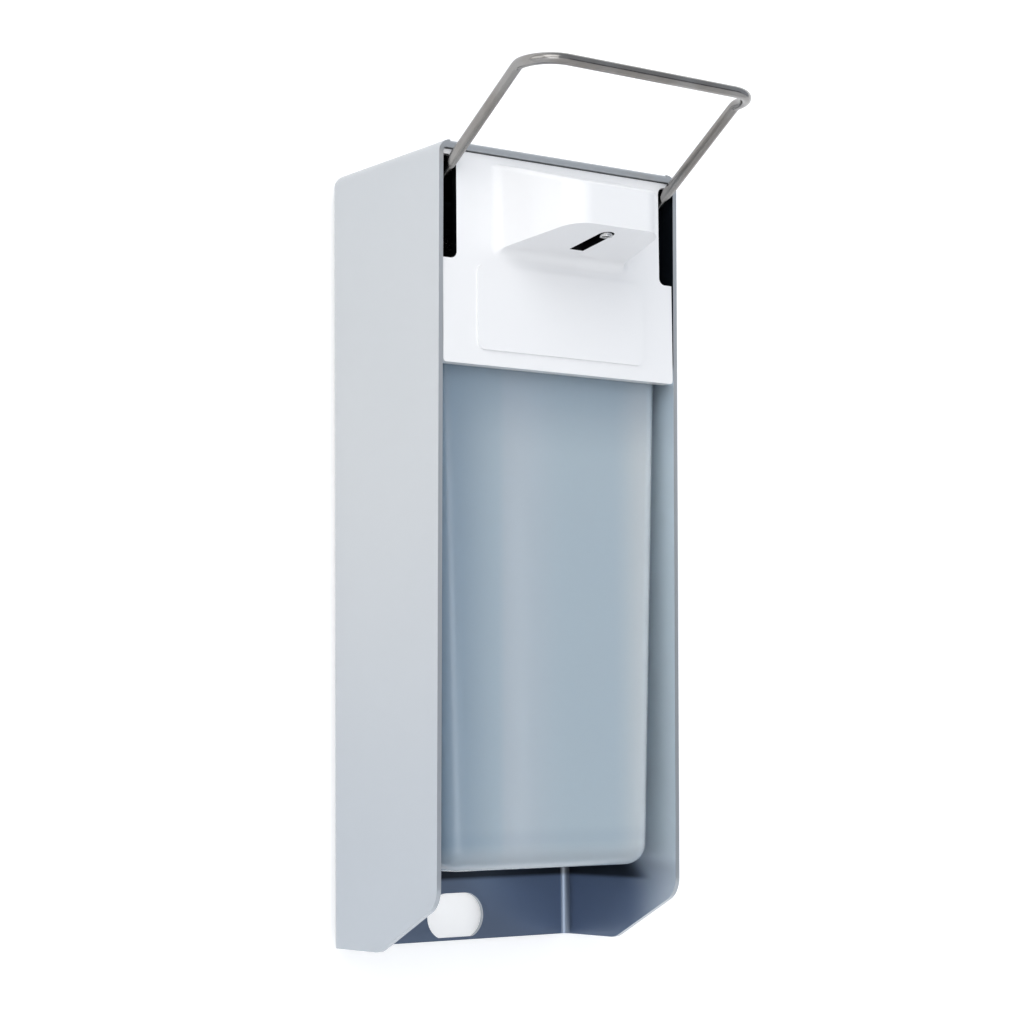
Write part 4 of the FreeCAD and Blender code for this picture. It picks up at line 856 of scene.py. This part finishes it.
class WireWay:
    """A round wire or tube that is drawn straight and bent, one run after another."""

    step: float = 7.5

    def __init__(self, solid: Solid, radius: float, sides: int = 28) -> None:
        """Hold the bmesh and its layers.

        Args:
            solid: The bmesh to build in.
            radius: The wire's radius in millimetres.
            sides: Faces around the wire.
        """
        self.solid = solid
        self.radius = radius * MM
        self.sides = sides
        self.layer = (solid.verts.layers.float_vector.get("wire_way")
                      or solid.verts.layers.float_vector.new("wire_way"))

    def _start(self, centre: Vector, along: Vector) -> list:
        """Set the first ring round a centre, square to the way along, and return its edges."""
        turn = along.to_track_quat("Z", "X").to_matrix().to_4x4()
        ring = bmesh.ops.create_circle(self.solid, segments=self.sides, radius=self.radius,
                                       matrix=Matrix.Translation(centre) @ turn)["verts"]
        back = turn.inverted()
        for vert in ring:
            flat = back @ (vert.co - centre)
            vert[self.layer] = Vector((flat.x, flat.y, 0.0)) / self.radius
        return edges_at(ring)

    def _mark(self, ring: list, along: float) -> None:
        """Write how far along the wire a ring lies."""
        for vert in {vert for edge in ring for vert in edge.verts}:
            way = vert[self.layer]
            vert[self.layer] = Vector((way.x, way.y, along))

    def bend(self, corners: list[Vector], radii: tuple[float, ...],
             capped: bool = True) -> None:
        """Draw the wire through corners.

        Args:
            corners: The route's corners.
            radii: A bend radius in millimetres for each inner corner.
            capped: Whether the ends are closed with a face.
        """
        here = corners[0].copy()
        along = (corners[1] - corners[0]).normalized()
        first = ring = self._start(here, along)
        travelled = 0.0
        for corner, after, radius in zip(corners[1:], corners[2:] + [None], radii + (0.0,)):
            if after is None:
                stop, turn = corner, 0.0
            else:
                onward = (after - corner).normalized()
                turn = along.angle(onward)
                stop = corner - along * radius * MM * math.tan(turn / 2)
            travelled += (stop - here).length
            ring = extend(self.solid, ring, stop - here)
            self._mark(ring, travelled)
            here = stop
            if after is None:
                break
            axis = along.cross(onward).normalized()
            centre = here + axis.cross(along) * radius * MM
            steps = max(2, round(math.degrees(turn) / self.step))
            for _ in range(steps):
                made = bmesh.ops.spin(self.solid, geom=ring, cent=centre, axis=axis,
                                      angle=turn / steps, steps=1)["geom_last"]
                ring = [item for item in made if isinstance(item, bmesh.types.BMEdge)]
                travelled += radius * MM * turn / steps
                self._mark(ring, travelled)
            here = centre + Matrix.Rotation(turn, 3, axis) @ (here - centre)
            along = onward
        if capped:
            for end in (first, ring):
                bmesh.ops.holes_fill(self.solid, edges=end, sides=self.sides)


class Assembly:
    """Pieces that are made in one go."""

    def build(self, shop: Workshop) -> None:
        """Make the pieces and dress the CAD nodes that stay.

        Args:
            shop: The workshop.
        """
        raise NotImplementedError


@dataclass
class Housing(Assembly):
    """The folded sheet housing, its wall plate and the chassis riveted inside."""

    inner_half: float = 44.55
    inner_rear: float = -3.95
    inner_top: float = 243.55
    front: float = -61.5
    lip_depth: float = 2.5
    bend_reach: float = 2.6
    # The bends get only this share of the painted shade, which leaves a painted highlight on them.
    bend_share: float = 0.77
    looks_front: float = -0.35
    looks_down: float = -0.5
    looks_aslant: float = 0.17
    edge_round: float = 0.22
    plate_round: float = 0.3
    moulding_round: float = 0.35

    def _faces_inside(self, middle: Vector, normal: Vector) -> float:
        """How far a face of the sheet is in the housing's shade, less in its bright bends."""
        within = (abs(middle.x) < self.inner_half and middle.y < self.inner_rear
                  and middle.z < self.inner_top)
        at_front = normal.y < self.looks_front and middle.y < self.front
        under_lip = normal.z < self.looks_down and middle.y < self.front - self.lip_depth
        if not within or at_front or under_lip:
            return 0.0
        at_bend = (abs(middle.x) > self.inner_half - self.bend_reach
                   and middle.y > self.inner_rear - self.bend_reach
                   and min(abs(normal.x), abs(normal.y)) > self.looks_aslant)
        return self.bend_share if at_bend else 1.0

    def build(self, shop: Workshop) -> None:
        """Make the sheet parts and dress what they carry."""
        shop.rework("housing", "folded_housing", "satin_anodised_sheet", self.edge_round,
                    weld=HOUSING_WELD, inside=self._faces_inside)
        shop.rework("wall_plate", "hook_plate", "bright_zinc", self.plate_round)
        shop.rework("chassis", "moulded_chassis", "charcoal_moulding", self.moulding_round)
        shop.carry_over({"lock_screw": "screw_steel", "chassis_rivets": "rivet_alloy"})


@dataclass
class FrontCover(Assembly):
    """The glossy white cover with its nose, lever slots and bare label field."""

    edge_round: float = 0.35
    nose_half: float = 24.5
    nose_middle: float = 227.0
    nose_reach: float = 15.0
    nose_depth: float = -70.0
    nozzle_half: float = 2.9
    nozzle_top: float = 217.0
    nozzle_depths: Span = (-88.0, -66.0)
    slot_edges: Span = (37.4, 40.4)
    slot_bottom: float = 208.5
    looks_away: float = 0.5
    label_floor: float = -64.3
    label_half: float = 32.1
    label_lift: float = 1.3
    label_slack: float = 0.01

    def _faces_inside(self, middle: Vector, normal: Vector) -> bool:
        """Whether a face looks into the nose's hollow, its slot or a lever slot, where it gets
        painted shade.
        """
        axis = Vector((0.0, middle.y, self.nose_middle))
        near = (abs(middle.x) < self.nose_half
                and abs(middle.z - self.nose_middle) < self.nose_reach)
        round_hollow = (normal.y > -self.looks_away
                        and (axis - middle).dot(normal) > self.looks_away)
        behind_front = normal.y > self.looks_away and middle.y < self.nose_depth
        nozzle_slot = (abs(middle.x) < self.nozzle_half and normal.z > -self.looks_away
                       and middle.z < self.nozzle_top
                       and self.nozzle_depths[0] < middle.y < self.nozzle_depths[1])
        lever_slot = (self.slot_edges[0] < abs(middle.x) < self.slot_edges[1]
                      and middle.x * normal.x > 0.0 and middle.z > self.slot_bottom)
        return near and (round_hollow or behind_front or nozzle_slot) or lever_slot

    def _raise_label(self, solid: Solid) -> None:
        """Raise the floor of the bare label field, which makes it a low pad."""
        pad = [vert for vert in solid.verts if abs(vert.co.x) < self.label_half * MM
               and abs(vert.co.y - self.label_floor * MM) < self.label_slack * MM]
        LOG.info("label pad from %d points", len(pad))
        bmesh.ops.translate(solid, verts=pad, vec=(0, -self.label_lift * MM, 0))

    def build(self, shop: Workshop) -> None:
        """Make the cover."""
        shop.rework("front_cover", "nosed_cover", "gloss_white_moulding", self.edge_round,
                    reshape=self._raise_label, inside=self._faces_inside)


@dataclass
class Lever(Assembly):
    """The bail of bent wire with its press bar, sleeve and bearings."""

    pivot_depth: float = -14.5
    pivot_height: float = 206.0
    rest_angle: float = 32.2
    wire_radius: float = 1.75
    pin_inside: float = 29.6
    arm_across: float = 41.6
    arm_length: float = 102.2
    bow_drop: float = 31.0
    bow_length: float = 11.4
    bends: Triple = (4.5, 4.5, 10.0)
    pin_round: float = 0.3
    bar_reach: float = 26.0
    bar_radius: float = 2.5
    bead: float = 0.9
    bead_sides: int = 10
    bead_steps: int = 28
    bead_waves: Span = (4100.0, 5200.0)
    bead_rough: float = 0.08
    kept: dict[str, str] = field(default_factory=lambda: {
        "press_bar": "bail_pin_steel", "press_sleeve": "sleeve_nylon",
        "retaining_rings": "spring_steel", "pivot_bushes": "natural_acetal"})

    def _to_rest(self, solid: Solid) -> None:
        """Turn and move what is built round the pivot to its place at rest."""
        place = (Matrix.Translation(point(0, self.pivot_depth, self.pivot_height))
                 @ Matrix.Rotation(math.radians(-self.rest_angle), 4, "X"))
        bmesh.ops.transform(solid, matrix=place, verts=solid.verts)

    def _bail(self) -> Solid:
        """The wire: pins, arms and the bow bent down at the knees."""
        drop = math.radians(self.bow_drop)
        front = self.arm_length + self.bow_length * math.cos(drop)
        fall = self.bow_length * math.sin(drop)
        side = [Vector((self.pin_inside, 0, 0)), Vector((self.arm_across, 0, 0)),
                Vector((self.arm_across, -self.arm_length, 0)),
                Vector((self.arm_across, -front, -fall))]
        mirror = [Vector((-corner.x, corner.y, corner.z)) for corner in side]
        corners = [corner * MM for corner in mirror + side[::-1]]
        solid = bmesh.new()
        WireWay(solid, self.wire_radius).bend(corners, self.bends + self.bends[::-1])
        soften(solid, self.pin_round, WIRE_EDGE)
        self._to_rest(solid)
        return solid

    def _beads(self) -> Solid:
        """A weld bead round each end of the press bar."""
        solid = bmesh.new()
        for side in (-1, 1):
            centre = Vector((side * (self.arm_across - self.wire_radius), -self.bar_reach, 0))
            verts = bmesh.ops.create_circle(
                solid, segments=self.bead_sides, radius=self.bead * MM,
                matrix=Matrix.Translation((centre + Vector((0, 0, self.bar_radius))) * MM)
                @ Matrix.Rotation(QUARTER, 4, "Y") @ Matrix.Rotation(QUARTER, 4, "X"))["verts"]
            bmesh.ops.spin(solid, geom=verts + edges_at(verts), cent=centre * MM,
                           axis=(1, 0, 0), angle=math.tau, steps=self.bead_steps,
                           use_merge=True)
        bmesh.ops.remove_doubles(solid, verts=solid.verts, dist=TOUCH)
        bmesh.ops.recalc_face_normals(solid, faces=solid.faces)
        for vert in solid.verts:
            wave = math.sin(vert.co.z * self.bead_waves[1] + vert.co.y * self.bead_waves[0])
            vert.co.x += wave * self.bead_rough * MM
        self._to_rest(solid)
        return solid

    def build(self, shop: Workshop) -> None:
        """Make the bail and its beads and dress the small parts."""
        shop.deliver(self._bail(), "wire_bail", "satin_drawn_steel", "lever_bail",
                     carrier=Carrier.LEVER)
        shop.deliver(self._beads(), "bar_weld_beads", "bail_pin_steel", carrier=Carrier.LEVER)
        shop.carry_over(self.kept)


@dataclass
class Bottle(Assembly):
    """The blown half litre bottle."""

    bottom: float = 24.5
    shoulder: float = 186.0
    half_top: float = 43.2
    half_foot: float = 38.6
    front: float = -60.5
    rear: float = -9.5
    draft: float = 2.0
    corner: float = 6.5
    corner_steps: int = 8
    wall: float = 1.4
    neck_depth: float = -38.8
    neck_radius: float = 15.0
    neck_top: float = 193.5
    rim_cuts: int = 10
    base_rise: float = 1.5
    base_rims: Span = (4.0, 2.5)

    def _block(self) -> Solid:
        """The drafted block with its round edges."""
        solid = bmesh.new()
        bmesh.ops.create_cube(solid, size=1.0)
        for vert in solid.verts:
            at_foot = vert.co.z < 0
            across = self.half_foot if at_foot else self.half_top
            inset = self.draft if at_foot else 0.0
            depth = self.front + inset if vert.co.y < 0 else self.rear - inset
            vert.co = point(math.copysign(across, vert.co.x), depth,
                            self.bottom if at_foot else self.shoulder)
        bmesh.ops.bevel(solid, geom=list(solid.edges), offset=self.corner * MM,
                        offset_type="OFFSET", segments=self.corner_steps, profile=0.5,
                        affect="EDGES", material=-1)
        return solid

    def _open_neck(self, solid: Solid) -> None:
        """Open the top and join it to the neck."""
        top = max(solid.faces, key=lambda face: face.calc_center_median().z)
        rim = list(top.edges)
        bmesh.ops.delete(solid, geom=[top], context="FACES_ONLY")
        bmesh.ops.subdivide_edges(solid, edges=rim, cuts=self.rim_cuts)
        rim = [edge for edge in solid.edges if edge.is_boundary]
        verts = bmesh.ops.create_circle(
            solid, segments=len(rim), radius=self.neck_radius * MM,
            matrix=Matrix.Translation(point(0, self.neck_depth, self.shoulder)))["verts"]
        ring = edges_at(verts)
        bmesh.ops.bridge_loops(solid, edges=rim + ring)
        extend(solid, ring, Vector((0, 0, (self.neck_top - self.shoulder) * MM)))

    def build(self, shop: Workshop) -> None:
        """Make the bottle."""
        solid = self._block()
        self._open_neck(solid)
        base = min(solid.faces, key=lambda face: face.calc_center_median().z)
        for rim_width, rise in zip(self.base_rims, (0.0, self.base_rise)):
            bmesh.ops.inset_region(solid, faces=[base], thickness=rim_width * MM,
                                   depth=-rise * MM)
        bmesh.ops.recalc_face_normals(solid, faces=solid.faces)
        bmesh.ops.solidify(solid, geom=solid.faces, thickness=self.wall * MM)
        shop.deliver(solid, "blown_bottle", "milky_bottle", "bottle")


@dataclass
class Outlet(Assembly):
    """The bent steel outlet tube and its nut."""

    tube_depth: float = -55.0
    start: float = 205.0
    level: float = 223.5
    nozzle_depth: float = -88.1
    end: float = 216.0
    outer: float = 2.0
    bore: float = 1.3
    sides: int = 32
    bends: Span = (8.0, 5.0)
    lip_reach: float = 3.0
    small_round: float = 0.2

    def _tube(self) -> Solid:
        """The outer and inner skins of the tube, joined by a lip at each end."""
        corners = [point(0, self.tube_depth, self.start), point(0, self.tube_depth, self.level),
                   point(0, self.nozzle_depth, self.level),
                   point(0, self.nozzle_depth, self.end)]
        solid = bmesh.new()
        WireWay(solid, self.outer, self.sides).bend(corners, self.bends, capped=False)
        outside = set(solid.faces)
        WireWay(solid, self.bore, self.sides).bend(corners, self.bends, capped=False)
        bmesh.ops.reverse_faces(solid, faces=[f for f in solid.faces if f not in outside])
        for end in (corners[0], corners[-1]):
            lips = [edge for edge in solid.edges if edge.is_boundary
                    and abs(edge.verts[0].co.z - end.z) < TOUCH
                    and abs(edge.verts[0].co.y - end.y) < self.lip_reach * MM]
            bmesh.ops.bridge_loops(solid, edges=lips)
        soften(solid, self.small_round, WIRE_EDGE)
        return solid

    def build(self, shop: Workshop) -> None:
        """Make the tube and its nut."""
        shop.deliver(self._tube(), "bent_outlet_tube", "bright_steel_tube", "outlet_tube")
        shop.rework("outlet_nut", "union_nut", "pump_white_plastic", self.small_round)


@dataclass
class Pump(Assembly):
    """The pump in the bottle's neck."""

    small_round: float = 0.2
    stroke: float = 11.06
    outlet_lift: float = 0.8
    kept: dict[str, str] = field(default_factory=lambda: {
        "rod_guide": "natural_acetal", "rod_wiper": "black_rubber",
        "neck_gasket": "black_rubber", "pump_cylinder": "pump_clear_plastic",
        "pump_jacket": "pump_clear_plastic", "inlet_valve": "pump_white_plastic",
        "inlet_ball": "polished_ball", "outlet_ball": "polished_ball",
        "piston": "natural_acetal", "piston_seal": "black_rubber",
        "piston_rod": "bare_steel", "dip_tube": "tube_plastic"})

    @staticmethod
    def _spring(shop: Workshop, node: str, joint: str, travel: float,
                held_on_top: bool) -> None:
        """Make a spring piece from a copy of the CAD node's mesh.

        Args:
            shop: The workshop.
            node: The CAD node that it stands for.
            joint: The joint that presses it; not used.
            travel: How much shorter it gets in millimetres; not used.
            held_on_top: Whether its upper end stays in place, and not its lower end; not used.
        """
        spring = shop.deliver(merged_copy(node), "wound_" + node, "spring_steel", node)
        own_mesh(spring)

    def build(self, shop: Workshop) -> None:
        """Make or dress the pump's parts."""
        shop.rework("pump_head", "ported_pump_head", "pump_white_plastic", self.small_round)
        shop.rework("press_cap", "plunger_cap", "pump_white_plastic", self.small_round,
                    Carrier.PLUNGER)
        self._spring(shop, "return_spring", "plunger_slide", self.stroke, False)
        self._spring(shop, "outlet_spring", "outlet_ball_lift", self.outlet_lift, True)
        shop.carry_over(self.kept)


@dataclass(frozen=True)
class Lamp:
    """A square soft lamp that looks at the origin.

    Attributes:
        place: Where it stands.
        size: Its side in metres.
        power: Its watts.
        colour: Its colour.
    """

    place: Triple
    size: float
    power: float
    colour: Triple

    def build(self, name: str) -> None:
        """Hang the lamp.

        Args:
            name: Its name.
        """
        lamp = bpy.data.lights.new(name, "AREA")
        lamp.shape = "SQUARE"
        lamp.size = self.size
        lamp.energy = self.power
        lamp.color = self.colour
        turn = (-Vector(self.place)).to_track_quat("-Z", "Y").to_matrix().to_4x4()
        added(name, lamp).matrix_world = Matrix.Translation(self.place) @ turn


LAMPS = {
    "high_lamp": Lamp((-1.0, -2.0, 1.5), 1.8, 20.0, (1.0, 0.99, 0.975)),
    "low_lamp": Lamp((-0.9, -2.2, -0.35), 1.2, 10.0, (0.97, 0.985, 1.0)),
    "side_lamp": Lamp((-2.0, -0.85, 0.7), 1.2, 5.0, (1.0, 1.0, 1.0)),
}


@dataclass
class Studio:
    """The wall and floor, the lamps, the sky and the camera, in metres."""

    wall_half: float = 3.0
    wall_gap: float = 0.0005
    floor_height: float = -0.62
    paint_tones: tuple[Triple, Triple] = ((0.83, 0.83, 0.83), (0.81, 0.81, 0.815))
    paint_patches: float = 3.0
    paint_roughness: float = 0.9
    paint_gloss: float = 0.1
    wall_lift: float = 0.38
    floor_lift: float = 0.2
    white: Triple = (1.0, 1.0, 1.0)
    sky_strength: float = 0.95
    dim_way: Triple = (0.75, -0.62, 0.1)
    dim_span: Span = (-0.25, 0.6)
    dim_tone: Triple = (0.57, 0.61, 0.67)
    card_way: Triple = (0.598, -0.777, -0.199)
    card_span: Span = (0.93, 0.985)
    card_tone: Triple = (0.08, 0.09, 0.11)
    lens: float = 88.731
    sensor: float = 36.0
    near_clip: float = 0.01
    picture: float = 1024.0
    picture_middle: Span = (588.033, 510.911)
    turns: Triple = (0.648146923, -0.0958648, -0.01155005)
    offset: Triple = (-0.0436354623, 0.816122307, -0.138744869)
    fitted_origin: Triple = (0.0, -0.0025, -ORIGIN_HEIGHT * MM)

    def _sheet(self, name: str, place: Matrix) -> Item:
        """A flat backdrop.

        Args:
            name: The object's name.
            place: The matrix that turns and places it.

        Returns:
            The backdrop.
        """
        solid = bmesh.new()
        bmesh.ops.create_grid(solid, x_segments=1, y_segments=1, size=self.wall_half,
                              matrix=place)
        item = added_mesh(name, solid)
        return item

    def _paint(self, name: str, lift: float, one_sided: bool) -> Material:
        """A plain white paint that the camera sees as white and that keeps shadows.

        Args:
            name: The material's name.
            lift: Light added for the camera and for reflections.
            one_sided: Whether the back is clear, so that the object shows from behind.

        Returns:
            The material.
        """
        material = bpy.data.materials.new(name)
        graph, surface = emptied(material, "OutputMaterial")
        patches = graph.group(EFFECTS.cloud, Scale=self.paint_patches)
        shader = graph.fill("BsdfPrincipled", {
            "Base Color": graph.blend(patches["Mask"], *self.paint_tones),
            "Roughness": self.paint_roughness, "Specular IOR Level": self.paint_gloss})
        rays = graph.add("LightPath").outputs
        seen = graph.combine("MAXIMUM", rays["Is Camera Ray"], rays["Is Glossy Ray"])
        seen = graph.combine("MAXIMUM", seen, rays["Is Transmission Ray"])
        glow = graph.fill("Emission", {"Strength": graph.combine("MULTIPLY", seen, lift)})
        paint = graph.fill("AddShader", {0: shader["BSDF"], 1: glow["Emission"]})["Shader"]
        if one_sided:
            behind = graph.add("NewGeometry").outputs["Backfacing"]
            paint = graph.either(behind, paint, graph.add("BsdfTransparent").outputs["BSDF"])
        graph.feed(surface, paint)
        return material

    def _sky(self) -> None:
        """Soft light from all round, dim on the right with a dark card, white for the camera."""
        world = bpy.data.worlds.new("studio_sky")
        graph, surface = emptied(world, "OutputWorld")
        way = graph.add("TexCoord").outputs["Generated"]
        colour = self.white
        for toward, span, tone in ((self.dim_way, self.dim_span, self.dim_tone),
                                   (self.card_way, self.card_span, self.card_tone)):
            colour = graph.blend(graph.ramp(graph.along(way, toward), span), colour, tone)
        soft = graph.fill("Background", {"Color": colour, "Strength": self.sky_strength})
        plain = graph.fill("Background", {"Color": self.white})
        seen = graph.add("LightPath").outputs["Is Camera Ray"]
        graph.feed(surface, graph.either(seen, soft["Background"], plain["Background"]))
        bpy.context.scene.world = world

    def _camera(self) -> None:
        """The photograph's camera: to the left, slightly below, close to level."""
        yaw, pitch, roll = self.turns
        turn = (Matrix.Rotation(roll, 3, "Y") @ Matrix.Rotation(pitch, 3, "X")
                @ Matrix.Rotation(yaw, 3, "Z"))
        eye = Vector(self.fitted_origin) - turn.transposed() @ Vector(self.offset)
        axes = Matrix((turn[0], turn[2], -turn[1])).transposed()
        data = bpy.data.cameras.new("photo_camera")
        data.lens = self.lens
        data.sensor_width = self.sensor
        data.clip_start = self.near_clip
        data.shift_x = 0.5 - self.picture_middle[0] / self.picture
        data.shift_y = self.picture_middle[1] / self.picture - 0.5
        camera = added("photo_camera", data)
        camera.matrix_world = Matrix.Translation(eye) @ axes.to_4x4()
        bpy.context.scene.camera = camera

    def build(self) -> None:
        """Set the stage."""
        wall = self._sheet("studio_wall", Matrix.Translation((0, self.wall_gap, 0))
                           @ Matrix.Rotation(QUARTER, 4, "X"))
        wall.data.materials.append(self._paint("wall_paint", self.wall_lift, True))
        floor = self._sheet("studio_floor", Matrix.Translation((0, -self.wall_half,
                                                                self.floor_height)))
        floor.data.materials.append(self._paint("floor_paint", self.floor_lift, False))
        for name, lamp in LAMPS.items():
            lamp.build(name)
        self._sky()
        self._camera()
        bpy.context.scene.view_settings.view_transform = "Standard"
        LOG.info("stage, lamps and camera are set")


def write_sizes() -> None:
    """Define how a box is given as nested lists; nothing is written."""
    def plain(box: object) -> list:
        """A box as nested lists."""
        return [[round(float(value), 6) for value in corner] for corner in box]


def main() -> None:
    """Build every sub-assembly in order."""
    logging.basicConfig(level=logging.INFO, format="%(name)s: %(message)s")
    shop = Workshop()
    Studio().build()
    for assembly in (Housing(), FrontCover(), Lever(), Bottle(), Outlet(), Pump()):
        LOG.info("building %s", type(assembly).__name__)
        assembly.build(shop)
    write_sizes()


if __name__ == "__main__":
    main()
